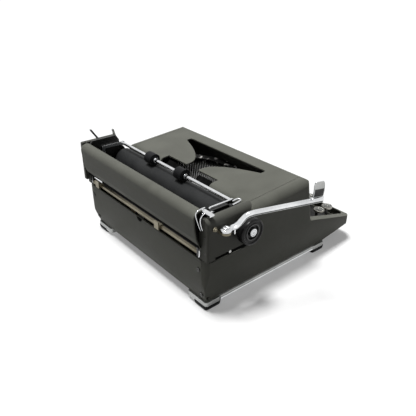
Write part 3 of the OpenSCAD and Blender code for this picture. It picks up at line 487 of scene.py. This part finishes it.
def key_top(bm, x, y, top, low, high=None, r=KEY_R, size=LEGEND_SIZE):
    """One dressed key at a cap whose flat top is at the given height."""
    centre = (x, y, top)
    ring = [(r - 0.5, -3.1), (r + 0.15, -2.9), (r + 0.22, -0.5), (r, 0.15),
            (r - 0.55, 0.34), (r - 1.05, 0.22), (r - 1.15, -0.05)]
    disc = [(r - 0.9, 0.04), (0, 0.04)]
    lens = [(0, 0.10), (r - 1.1, 0.10), (r - 1.1, 0.24), (4.6, 0.62), (2.4, 0.82), (0, 0.88)]
    lathe(bm, ring, centre, UP, KEY_SIDES, RING_MAT)
    lathe(bm, disc, centre, UP, KEY_SIDES, DISC_MAT)
    lathe(bm, lens, centre, UP, KEY_SIDES, LENS_MAT)
    if high:
        put_legend(bm, high, 4.0, (x, y + 2.5, top + LEGEND_RISE))
        put_legend(bm, low, 4.4, (x, y - 2.3, top + LEGEND_RISE))
    else:
        put_legend(bm, low, size, (x, y, top + LEGEND_RISE))


def row_key(bm, row, column):
    x = (column - MIDDLE_COLUMN + STAGGER[row]) * PITCH
    key_top(bm, x, ROW_Y[row], ROW_TOP[row], *LEGENDS[row][column])


def key_rows():
    for row, body in enumerate(ROW_BODIES):
        bm = bmesh.new()
        for column in range(len(LEGENDS[row])):
            if (row, column) != STRIKE_KEY:
                row_key(bm, row, column)
        piece(body + "_tops", bm, KEY_MATS, body)


def strike_key():
    bm = bmesh.new()
    row_key(bm, *STRIKE_KEY)
    piece("strike_key_top", bm, KEY_MATS, "struck_key")


def side_keys(name, body, word, y, *places):
    bm = bmesh.new()
    for x in places:
        key_top(bm, x, y, SIDE_KEY_TOP, word, r=SIDE_KEY_R, size=WORD_SIZE)
    piece(name, bm, KEY_MATS, body)


key_rows()
strike_key()
side_keys("shift_key_tops", "shift", "SHIFT", SHIFT_Y, -SHIFT_X, SHIFT_X)
side_keys("tab_key_top", "tabulator", "TAB", TAB_Y, -TAB_X)
side_keys("backspace_key_top", "backspace", "BACK", TAB_Y, TAB_X)


# Platen knobs, and the button in the left one

PLATEN = (90.0, 114.0)      # y and z of the platen's axis
KNOB_IN = 157.5             # inner and outer faces, from the machine's middle
KNOB_OUT = 170.0
GRIP_R = 18.35
RIDGES = 72
RIDGE_DEPTH = 0.3
BUTTON_X = -165.5


def ridge(r, a):
    """How far a point of the knob's rim lies inside its radius."""
    return -RIDGE_DEPTH * (0.5 + 0.5 * math.cos(RIDGES * a)) if r >= GRIP_R else 0.0


def knob(name, side, node_name):
    """A moulded knob with a ridged rim, and a metal ring in its stepped face."""
    bm = bmesh.new()
    centre, axis = (side * KNOB_IN, *PLATEN), (side, 0, 0)
    t = KNOB_OUT - KNOB_IN
    back = [(6.2, 0.0), (15.6, 0.0), (17.4, 0.5), (18.15, 1.6)]
    grip = [(GRIP_R, 2.0 + 0.9 * k) for k in range(9)]
    shoulder = [(18.2, t - 1.8), (17.8, t - 0.8), (17.0, t - 0.2), (16.2, t)]
    face = [(15.4, t - 0.02), (14.9, t - 0.4), (14.6, t - 1.2), (13.2, t - 1.5),
            (12.0, t - 1.4), (11.6, t - 0.7), (10.9, t - 0.5), (10.1, t - 0.6),
            (9.6, t - 1.2), (9.0, t - 3.4), (6.2, t - 3.6), (6.2, 0.0)]
    lathe(bm, back + grip + shoulder + face, centre, axis, 4 * RIDGES, 0, ridge)
    ring = [(9.7, t - 1.3), (9.9, t - 0.42), (10.5, t - 0.36), (11.0, t - 0.4), (11.2, t - 0.75)]
    lathe(bm, ring, centre, axis, 96, 1)
    piece(name, bm, [PLASTIC, CAST], "platen", [node_name], 30.0)


def hub_button():
    """The plated button in the left knob: a rim, a groove and a sunk middle."""
    bm = bmesh.new()
    profile = [(0, 0), (5.4, 0), (5.5, 0.4), (5.5, 4.6), (5.2, 5.2), (4.7, 5.35), (4.2, 5.2),
               (3.9, 4.4), (3.5, 4.4), (3.3, 4.9), (2.6, 5.1), (1.3, 5.1), (1.1, 4.3), (0, 4.3)]
    lathe(bm, profile, (BUTTON_X, *PLATEN), (-1, 0, 0))
    piece("spacer_button_turned", bm, [CHROME], "spacer_button",
          ["variable_spacer_button"], 40.0)


hub_button()
knob("left_knob_ringed", -1, "left_knob")
knob("right_knob_ringed", 1, "right_knob")


# Return lever: a plated strap that rises from its eye, runs forward and ends in a thumb plate

# Besides polished chrome, the lever takes dark steel and dull alloy as painted shade: dark in the
# strap's groove and the thumb plate's lower middle, greyer on the strap's lower lip and the thumb
# plate
LEVER_MATS = [CHROME, BLUED, ALLOY]
POLISHED, DARK_SHADE, DULL_AND_SHADE = range(3)
LEVER_PIVOT = (-161.5, 128.0)
LEVER_TURN = math.radians(18)
EYE_Z = 129.75
BAR_Z = 144.3
PIN_D = 11.6                # where along the lever its pin hangs down
# Faces of the strap's section in painted shade: the groove dark, standing in for its shadow, and
# the lower lip greyer, standing in for a darker reflection
STRAP_PAINTED_SHADE = {5: DARK_SHADE, 6: DARK_SHADE, 7: DARK_SHADE, 8: DULL_AND_SHADE, 9: DULL_AND_SHADE}
STRAP_STEPS = [             # distance, centre height, half thickness, half height
    (4.0, EYE_Z, 4.4, 1.6), (9.0, EYE_Z + 0.1, 4.1, 2.0), (13.0, EYE_Z + 0.9, 3.7, 2.3),
    (17.0, EYE_Z + 3.6, 3.1, 2.7), (21.0, EYE_Z + 7.8, 2.6, 3.0), (25.0, EYE_Z + 11.6, 2.1, 3.2),
    (29.5, BAR_Z - 1.0, 1.9, 3.4), (36.0, BAR_Z - 0.1, 1.75, 3.5), (60.0, BAR_Z, 1.75, 3.5),
    (85.0, BAR_Z, 1.75, 3.5), (110.0, BAR_Z, 1.75, 3.5), (131.4, BAR_Z, 1.75, 3.5),
    (132.6, BAR_Z, 1.5, 3.1)]
PLATE_D = (116.8, 132.4)    # the thumb plate's ends along the lever
PLATE_Z = (148.6, BAR_Z + 26.2)
PLATE_STEPS = 16
PLATE_SHADE_ROWS = 9              # the painted dark reflection on the thumb plate ends below this row of faces
LEDGE_Z = 148.3
LEDGE_IN = 1.2              # reach to the inner side
LEDGE_HALF = 1.4
LEDGE_STEPS = [             # distance, reach to the outer side, share of the full height
    (113.6, 2.2, 0.5), (114.4, 3.8, 1.0), (119.0, 4.4, 1.0), (126.0, 3.4, 1.0),
    (132.0, 1.8, 1.0), (132.7, 1.5, 0.6)]
BRACKET_Z = (123.1, 126.15)
BRACKET_R = 6.4
BRACKET_HALF = 6.9
BRACKET_CHAMFER = 0.4
PIVOT_R = 2.98
PIVOT_Z = (126.0, 131.9)
PIVOT_HEAD_Z = 131.75
CASING_SIDE_X = -153.0
STOP_SCREW = (138.6, 129.4)     # y and z


def lever_at(d, z, off=0.0):
    """A point d along the lever, off to its outer side."""
    c, s = math.cos(LEVER_TURN), math.sin(LEVER_TURN)
    return (LEVER_PIVOT[0] - d * s - off * c, LEVER_PIVOT[1] - d * c + off * s, z)


def strap(w, h):
    """Section of the strap: a broad outer face, and a groove above a lip along its lower edge."""
    outer = [(-w + 0.35, h), (w * 0.25, h), (w * 0.72, h * 0.80), (w, h * 0.45), (w, -h * 0.30),
             (w * 0.86, -h * 0.40), (w * 0.30, -h * 0.48), (w * 0.30, -h * 0.60),
             (w * 0.80, -h * 0.70), (w * 0.80, -h * 0.92), (w * 0.62, -h), (-w + 0.35, -h)]
    return outer + [(-w, -h + 0.35), (-w, h - 0.35)]


def lever():
    """The strap with its eye, and the pin that hangs from it."""
    bm = bmesh.new()
    rings = []
    for k, (d, z, w, h) in enumerate(STRAP_STEPS):
        before, after = STRAP_STEPS[max(k - 1, 0)], STRAP_STEPS[min(k + 1, len(STRAP_STEPS) - 1)]
        run = Vector((after[0] - before[0], after[1] - before[1])).normalized()
        rings.append([lever_at(d - v * run.y, z + v * run.x, u) for u, v in strap(w, h)])
    loft(bm, rings)
    sides = len(rings[0])
    bm.faces.ensure_lookup_table()
    # Painted shade on the strap: its groove dark, its lower lip greyer
    for k in range(sides * (len(rings) - 1)):
        bm.faces[k].material_index = STRAP_PAINTED_SHADE.get(k % sides, POLISHED)
    eye = [(3.06, -3.2), (6.1, -3.2), (6.6, -2.8), (6.6, -1.3), (7.5, -1.2), (7.9, -0.8),
           (8.0, 0.9), (7.8, 1.5), (7.2, 1.8), (3.06, 1.9), (3.06, -3.2)]
    lathe(bm, eye, (*LEVER_PIVOT, EYE_Z), UP)
    pin = [(0, -9.4), (0.7, -9.4), (1.05, -9.0), (1.05, -2.4), (0, -2.4)]
    lathe(bm, pin, lever_at(PIN_D, EYE_Z), UP, 20)
    piece("return_lever_plated", bm, LEVER_MATS, "lever", ["return_lever"], 42.0)


def plate_skin(bm, side, shrink):
    """A grid of vertices over the thumb plate: dished, with its upper corners rounded."""
    half_d = (PLATE_D[1] - PLATE_D[0]) / 2 - shrink
    half_z = (PLATE_Z[1] - PLATE_Z[0]) / 2 - shrink
    rows = []
    for v in spaced(-1, 1, PLATE_STEPS):
        row = []
        for u in spaced(-1, 1, PLATE_STEPS):
            corner = 0.30 if u < 0 else 0.12
            k = 1 - (corner * (u * v) ** 6 if v > 0 else 0.0)
            dish = 0.9 - 1.5 * v * v + 0.5 * (1 - u * u)
            row.append(bm.verts.new(at(*lever_at(
                sum(PLATE_D) / 2 + k * u * half_d, sum(PLATE_Z) / 2 + k * v * half_z,
                side + dish))))
        rows.append(row)
    return rows


def plate_shade_finish(row, column):
    """The finish of a face on the thumb plate's outer side: its lower middle is dark, a painted
    dark reflection, and the rest dull alloy.
    """
    inside = 0 < row < PLATE_SHADE_ROWS and 0 < column < PLATE_STEPS - 1
    return DARK_SHADE if inside else DULL_AND_SHADE


def thumb_plate():
    """A plate at the end of the return lever, dished where the thumb pushes, on a ledge."""
    bm = bmesh.new()
    back, front = plate_skin(bm, -0.75, 0.25), plate_skin(bm, 0.75, 0.25)
    middle = [plate_skin(bm, -0.3, 0.0), plate_skin(bm, 0.3, 0.0)]
    sheet(bm, back, lambda row, column: DULL_AND_SHADE)
    # Painted reflection: the lower middle of the outer side is dark
    sheet(bm, front, plate_shade_finish)
    loops = [border(rows) for rows in (back, *middle, front)]
    for a, b in zip(loops, loops[1:]):
        band(bm, a, b)
    loose = [v for v in bm.verts if not v.link_faces]
    bmesh.ops.delete(bm, geom=loose, context="VERTS")
    ledge = []
    for d, out, k in LEDGE_STEPS:
        mid, half = (out - LEDGE_IN) / 2, (out + LEDGE_IN) / 2
        ledge.append([lever_at(d, LEDGE_Z + LEDGE_HALF * k * r, mid + half * c)
                      for c, r in oval(1, 1, 4.0, 20)])
    loft(bm, ledge)
    piece("lever_thumb_plate", bm, LEVER_MATS, "lever", sharp=50.0)


def pivot_bracket():
    """The bracket of the return lever: a plate with a round end, its pivot and a stop screw."""
    bm = bmesh.new()
    x, y = LEVER_PIVOT
    low, high = BRACKET_Z
    plate = []
    for z, s in ((low, BRACKET_CHAMFER), (low + BRACKET_CHAMFER, 0.0),
                 (high - BRACKET_CHAMFER, 0.0), (high, BRACKET_CHAMFER)):
        end = [(x + (BRACKET_R - s) * math.cos(a), y + (BRACKET_R - s) * math.sin(a), z)
               for a in arc(90, 180, 20)]
        plate.append(end + [(CASING_SIDE_X, y - BRACKET_HALF + s, z),
                            (CASING_SIDE_X, y + BRACKET_HALF - s, z)])
    loft(bm, plate, 1)
    lathe(bm, [(PIVOT_R, z) for z in PIVOT_Z], (x, y, 0), UP, 32)
    slotted_head(bm, (x, y, PIVOT_HEAD_Z), UP, 4.8, 1.3)
    nut = [(0, 0), (3.4, 0), (3.4, 1.2), (3.1, 1.5), (2.3, 1.5), (2.3, 2.2)]
    lathe(bm, nut, (CASING_SIDE_X, *STOP_SCREW), (-1, 0, 0), 6, 1)
    slotted_head(bm, (CASING_SIDE_X - 2.0, *STOP_SCREW), (-1, 0, 0), 2.2, 1.8, 1)
    piece("lever_bracket_dressed", bm, [CHROME, NICKEL], "carriage",
          ["lever_pivot_post"], 40.0)


lever()
thumb_plate()
pivot_bracket()


# Small fittings of the carriage, the rear panel and the paper bail

RIVET_X, RIVET_Y, RIVET_ZS = 147.5, 149.5, (96.0, 118.0)
CASING_SCREW = (152.9, 113.0, 87.4)
SHADE_STRIP_Z = 84.6
SHADE_STRIP_HEIGHTS = (4.4, 3.4)       # front and rear
RAIL = (145.0, 88.0)            # y and z of the margin rail's axis
COLLAR_XS = (129.7, 133.5)
TABLE_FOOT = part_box("paper_table")[0].z * 1000
CLIP_Y, CLIP_Z = 153.7, TABLE_FOOT + 3.2
TABLE_SHADE_STRIP_XS = (-140.6, 0.0, 140.4)
FLANGE_Y, FLANGE_Z = 151.6, 122.3
FLANGE_HALF = (3.7, 31.4)       # along y and z
BUFFER_X, BUFFER_Z = -1.0, 82.9
BUFFER_HALF = (6.2, 5.4)        # along x and z


def table_end_springs():
    """Two bent spring wires behind the left end casing."""
    wired("table_end_springs", 0.72, "carriage",
          [(-142.0, 149.2, 126.5), (-142.0, 151.6, 127.5), (-142.0, 156.0, 141.0),
           (-142.0, 159.4, 152.6), (-142.0, 153.5, 156.2), (-142.0, 144.5, 156.4)],
          [(-145.6, 149.2, 128.5), (-145.6, 151.8, 129.5), (-145.6, 155.4, 144.5),
           (-145.6, 151.5, 149.6), (-145.6, 148.8, 151.0)])


def casing_rivets():
    """Two rivets in the back of each end casing, and a screw in its side."""
    bm = bmesh.new()
    x, y, z = CASING_SCREW
    rivet = [(0, -0.2), (1.3, -0.2), (1.3, 0.1), (0.9, 0.4), (0, 0.5)]
    for side in (-1, 1):
        for rivet_z in RIVET_ZS:
            lathe(bm, rivet, (side * RIVET_X, RIVET_Y, rivet_z), BACK, 20)
        slotted_head(bm, (side * x, y, z), (side, 0, 0), 2.0, 0.9, 1)
    piece("casing_rivets", bm, [BLUED, STEEL], "carriage")


def casing_edge_shade_strips():
    """A dull black strip along the lower edge of each end casing: painted shade, standing in for
    the shadow in the gap below the casing.
    """
    bm = bmesh.new()
    for side, ends in ((-1, (77.0, 137.0)), (1, (100.0, 137.0))):
        rings = []
        for y, tall in zip(ends, SHADE_STRIP_HEIGHTS):
            section = [(152.6, SHADE_STRIP_Z), (153.25, SHADE_STRIP_Z), (153.35, SHADE_STRIP_Z + 0.4),
                       (153.35, SHADE_STRIP_Z + tall - 0.3), (153.1, SHADE_STRIP_Z + tall),
                       (152.6, SHADE_STRIP_Z + tall)]
            rings.append([(side * x, y, z) for x, z in section])
        loft(bm, rings)
    piece("casing_edge_shade_strips", bm, [DULL_BLACK], "carriage")


def rail_end_spring():
    wired("rail_end_spring", 0.9, "carriage",
          [(-138.0, 149.2, 97.0), (-139.4, 151.2, 96.4), (-140.4, 152.0, 93.0),
           (-139.8, 152.0, 89.0), (-137.4, 150.6, 87.0), (-136.4, 149.2, 87.0)])


def rail_collars():
    """Two collars on the margin rail, outside the right stop's reach."""
    bm = bmesh.new()
    collar = [(2.02, 0), (4.0, 0), (4.3, 0.3), (4.3, 2.4), (4.0, 2.7), (2.02, 2.7), (2.02, 0)]
    for x in COLLAR_XS:
        lathe(bm, collar, (x, *RAIL), RIGHT, 32)
    piece("rail_collars", bm, [NICKEL], "carriage")


def table_edge_clip():
    """A bright clip at the right of the paper table's lower edge."""
    lofted("table_edge_clip", [
        [(x, CLIP_Y + 1.1 * k * c, CLIP_Z + 1.3 * k * r) for c, r in oval(1, 1, 3.0, 16)]
        for x, k in ((95.0, 0.7), (95.5, 1.0), (118.0, 1.0), (118.5, 0.7))
    ], [CHROME], "carriage")


def table_edge_shade_strip():
    """A dull black strip along the paper table's lower edge: painted shade, standing in for the
    dark gap between the table and the margin rail.
    """
    section = [(152.25, -0.5), (154.25, 4.8), (154.0, 5.1), (151.9, 5.1), (151.7, 4.9),
               (149.75, -0.5)]
    lofted("table_edge_shade_strip", [[(x, y, TABLE_FOOT + rise) for y, rise in section]
                                for x in TABLE_SHADE_STRIP_XS], [DULL_BLACK], "carriage")


def right_casing_flange():
    """A narrow wall behind the right end casing."""
    half_y, half_z = FLANGE_HALF
    lofted("right_casing_flange", [
        [(x, FLANGE_Y + half_y * k * c, FLANGE_Z + half_z * (0.9 + 0.1 * k) * r)
         for c, r in oval(1, 1, 12.0, 48)]
        for x, k in ((146.4, 0.9), (146.9, 1.0), (152.4, 1.0), (152.9, 0.9))
    ], [CASING], "carriage")


def panel_buffer():
    """A half-round buffer at the top of the rear panel."""
    half_x, half_z = BUFFER_HALF
    lofted("panel_buffer", [
        [(BUFFER_X + half_x * k * math.cos(a), y, BUFFER_Z + half_z * k * math.sin(a))
         for a in arc(180, 180, 16)]
        for y, k in ((149.8, 1.0), (150.5, 1.0), (150.8, 0.92))
    ], [DULL_BLACK], "machine")


def bail_finger_hook():
    wired("bail_finger_hook", 1.3, "bail",
          [(-130.0, 90.5, 141.8), (-130.6, 85.0, 142.4), (-131.4, 80.6, 142.8),
           (-135.2, 80.2, 142.6), (-136.8, 84.0, 142.0), (-136.9, 96.0, 141.0)])


table_end_springs()
casing_rivets()
casing_edge_shade_strips()
rail_end_spring()
rail_collars()
table_edge_clip()
table_edge_shade_strip()
right_casing_flange()
panel_buffer()
bail_finger_hook()


# Base and basket: rolled side trim, rubber feet, bottom board and ribbon shields

TRIM_X = 143.0
TRIM_WIDTH = 10.0
BEAD_R = 1.25
BEAD_TOP = 2.6              # the bright bead of the trim ends at this height above its foot
FOOT_HALF = 12.0
FOOT_STEPS = [              # height, and growth of the outline
    (0.0, -0.9), (0.25, -0.2), (1.0, 0.6), (2.6, 1.2), (5.0, 1.5), (6.5, 1.45), (6.9, 1.2)]
LINER_HALF = 138.4
LINER_Y = (-153.6, 138.5)
LINER_Z = 13.9
LINER_THICK = 0.8
LINER_BEND = -98.0          # the underside rises to the nose in front of this
LINER_RISE = 12.6
LINER_FLARE_Y = -118.0      # in front of this the board widens with the casing
LINER_FLARE = 0.00053
RIB_PITCH = 30.0
RIB_HEIGHT = 0.5
SHIELD_X = (18.5, 55.0)
SHIELD_Y = (54.6, 66.7)
SHIELD_Z = 118.4
SHIELD_THICK = 0.7


def base_trim():
    """The strips along both sides of the base, with a bright bead below a dull band."""
    low, high = (machine(corner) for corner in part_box("base_trim"))
    x, foot, top = TRIM_X, low.z, high.z
    bead = [(x - BEAD_R + BEAD_R * math.cos(a), foot + BEAD_R + BEAD_R * math.sin(a))
            for a in arc(-90, 160, 12)]
    section = [(x - TRIM_WIDTH, foot)] + bead + [
        (x - 0.7, foot + 2.7), (x - 0.7, top - 0.5), (x - 1.2, top), (x - TRIM_WIDTH, top)]
    bm = bmesh.new()
    for side in (-1, 1):
        loft(bm, [[(side * px, y, pz) for px, pz in section]
                  for y in spaced(low.y, high.y, 2)])
    for face in bm.faces:
        if machine(face.calc_center_median()).z < foot + BEAD_TOP:
            face.material_index = 1
    piece("base_trim_rolled", bm, [ALLOY, CHROME], "machine", ["base_trim"], 50.0)


def rubber_feet():
    """Moulded rubber pads under the foot brackets, with a lip up around each bracket's corner."""
    bm = bmesh.new()
    low, high = (machine(corner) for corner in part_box("rubber_feet"))
    for side in (-1, 1):
        for y in (low.y + FOOT_HALF, high.y - FOOT_HALF):
            x = side * (high.x - FOOT_HALF)
            loft(bm, [[(x + u, y + v, z)
                       for u, v in oval(FOOT_HALF + grow, FOOT_HALF + grow, 9.0, 64)]
                      for z, grow in FOOT_STEPS])
    piece("rubber_feet_moulded", bm, [RUBBER], "machine", ["rubber_feet"], 60.0)


def liner_height(y):
    """Upper side of the bottom board: shallow ribs, and a rise towards the nose."""
    rise = max(0.0, LINER_BEND - y) / (LINER_BEND - LINER_Y[0]) * LINER_RISE
    rib = RIB_HEIGHT * max(0.0, math.cos(2 * math.pi * y / RIB_PITCH)) ** 4
    return LINER_Z + rise + rib


def liner_spread(y):
    return 1.0 + LINER_FLARE * max(0.0, LINER_FLARE_Y - y)


def bottom_liner():
    """The felt-covered board that closes the base, pressed into ribs from side to side."""
    bm = bmesh.new()
    slab(bm, spaced(-LINER_HALF, LINER_HALF, 8), spaced(*LINER_Y, 120), liner_height,
         LINER_THICK, liner_spread)
    piece("bottom_liner", bm, [FELT], "machine", sharp=60.0)


def shield_height(y):
    ahead = SHIELD_Y[1] - y
    return SHIELD_Z + 0.9 * ahead - 0.004 * ahead ** 2


def ribbon_shields():
    """Bent plates in front of the card fingers, either side of the type guide, in dull black:
    painted shade, standing in for the shadow under the hood.
    """
    bm = bmesh.new()
    for side in (-1, 1):
        xs = [side * x for x in spaced(*SHIELD_X, 6)]
        slab(bm, xs, spaced(*SHIELD_Y, 10), shield_height, SHIELD_THICK)
    piece("ribbon_shields", bm, [DULL_BLACK], "machine", sharp=50.0)


base_trim()
rubber_feet()
bottom_liner()
ribbon_shields()


# Ribbon wound on both spools

SPOOL_X, SPOOL_Y = 114, 10
SPOOL_FLANGE = 1.6
TURN_UNEVEN = 0.12
WINDING_R = (8.0, 12)       # its inner edge, and a ring that keeps its flat faces even


def ribbon(name, side, body, turns):
    """A winding, red below and black above, with slightly uneven turns."""
    low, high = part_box(body.replace("spool", "ribbon_spool"))
    bm = bmesh.new()
    centre = (side * SPOOL_X, SPOOL_Y, 0)
    base, top = low.z * 1000 + SPOOL_FLANGE, high.z * 1000 - SPOOL_FLANGE
    edge = [(turns + TURN_UNEVEN * math.sin(k * 1.7), z)
            for k, z in enumerate(spaced(base, top, 12))]
    red = [p for p in edge if p[1] <= (base + top) / 2]
    black = red[-1:] + edge[len(red):]
    inner, ring = WINDING_R
    lathe(bm, [(inner, base), (ring, base)] + red, centre, UP, 64, 1)
    lathe(bm, black + [(turns, top), (ring, top), (inner, top)], centre, UP, 64)
    bmesh.ops.remove_doubles(bm, verts=bm.verts, dist=1e-6)
    piece(name, bm, [RIBBON, RED_RIBBON], body)


ribbon("left_ribbon_winding", -1, "left_spool", 16.0)
ribbon("right_ribbon_winding", 1, "right_spool", 13.0)


# Studio

WHITE = (1, 1, 1, 1)
SKY_SEEN, SKY_LIGHT = 1.0, 0.10
FLOOR_SIZE = 6.0            # metres
FLOOR_SEEN, FLOOR_BOUNCE = 0.74, 0.145
FLOOR_GLOW = 0.25           # lifts the shadow for the camera alone
SUN_POWER = 3.3
SUN_WIDTH = math.radians(14)
SUN_FROM = (0.13, 0.14, 0.98)
LENS, SENSOR = 42.58, 36.0
CLIP = (0.01, 50.0)         # metres
CAMERA_PLACE = (-533.6, 463.7, 430.0)
CAMERA_RIGHT = (-0.6374, -0.7705, 0.0)
CAMERA_UP = (0.3676, -0.3041, 0.8788)
CAMERA_AHEAD = (0.6771, -0.5602, -0.4772)


def show_white(tree, seen, unseen):
    """One value for rays that show the background, another for rays that only carry light."""
    path = node(tree, "LightPath")
    total = node(tree, "Math", {0: path.outputs["Is Camera Ray"],
                                1: path.outputs["Is Glossy Ray"]}, operation="ADD")
    total = node(tree, "Math", {0: total.outputs[0], 1: path.outputs["Is Transmission Ray"]},
                 operation="ADD", use_clamp=True)
    return node(tree, "MapRange", {"Value": total.outputs[0], "To Min": unseen,
                                   "To Max": seen}).outputs["Result"]


def studio_sky(scene):
    world = bpy.data.worlds.new("studio")
    scene.world = world
    tree = empty_tree(world)
    sky = node(tree, "Background", {"Color": WHITE,
                                    "Strength": show_white(tree, SKY_SEEN, SKY_LIGHT)})
    node(tree, "OutputWorld", {"Surface": sky.outputs["Background"]})


def studio_floor(scene):
    bm = bmesh.new()
    bmesh.ops.create_grid(bm, x_segments=24, y_segments=24, size=FLOOR_SIZE)
    mesh = bpy.data.meshes.new("studio_floor")
    bm.to_mesh(mesh)
    bm.free()
    floor = bpy.data.objects.new("studio_floor", mesh)
    scene.collection.objects.link(floor)
    mat = bpy.data.materials.new("studio_paper")
    tree = empty_tree(mat)
    tone = show_white(tree, FLOOR_SEEN, FLOOR_BOUNCE)
    grey = node(tree, "CombineColor", {0: tone, 1: tone, 2: tone}).outputs[0]
    paper = node(tree, "BsdfDiffuse", {"Color": grey})
    glow = node(tree, "Emission", {"Color": WHITE,
                                   "Strength": show_white(tree, FLOOR_GLOW, 0.0)})
    total = node(tree, "AddShader", {0: paper.outputs[0], 1: glow.outputs[0]})
    node(tree, "OutputMaterial", {"Surface": total.outputs[0]})
    mesh.materials.append(mat)


def studio_sun(scene):
    lamp = bpy.data.lights.new("soft_sky_light", "SUN")
    lamp.energy = SUN_POWER
    lamp.angle = SUN_WIDTH
    holder = bpy.data.objects.new("soft_sky_light", lamp)
    holder.rotation_euler = Vector(SUN_FROM).to_track_quat("Z", "Y").to_euler()
    scene.collection.objects.link(holder)


def photo_camera(scene):
    """The camera of the photo, from its recovered perspective."""
    lens = bpy.data.cameras.new("photo_camera")
    lens.lens = LENS
    lens.sensor_width = SENSOR
    lens.clip_start, lens.clip_end = CLIP
    holder = bpy.data.objects.new("photo_camera", lens)
    turn = Matrix((CAMERA_RIGHT, CAMERA_UP, -Vector(CAMERA_AHEAD))).transposed().to_4x4()
    holder.matrix_world = Matrix.Translation(at(*CAMERA_PLACE)) @ turn
    scene.collection.objects.link(holder)
    scene.camera = holder


def studio(scene):
    scene.view_settings.view_transform = "Standard"
    studio_sky(scene)
    studio_floor(scene)
    studio_sun(scene)
    photo_camera(scene)


studio(bpy.context.scene)
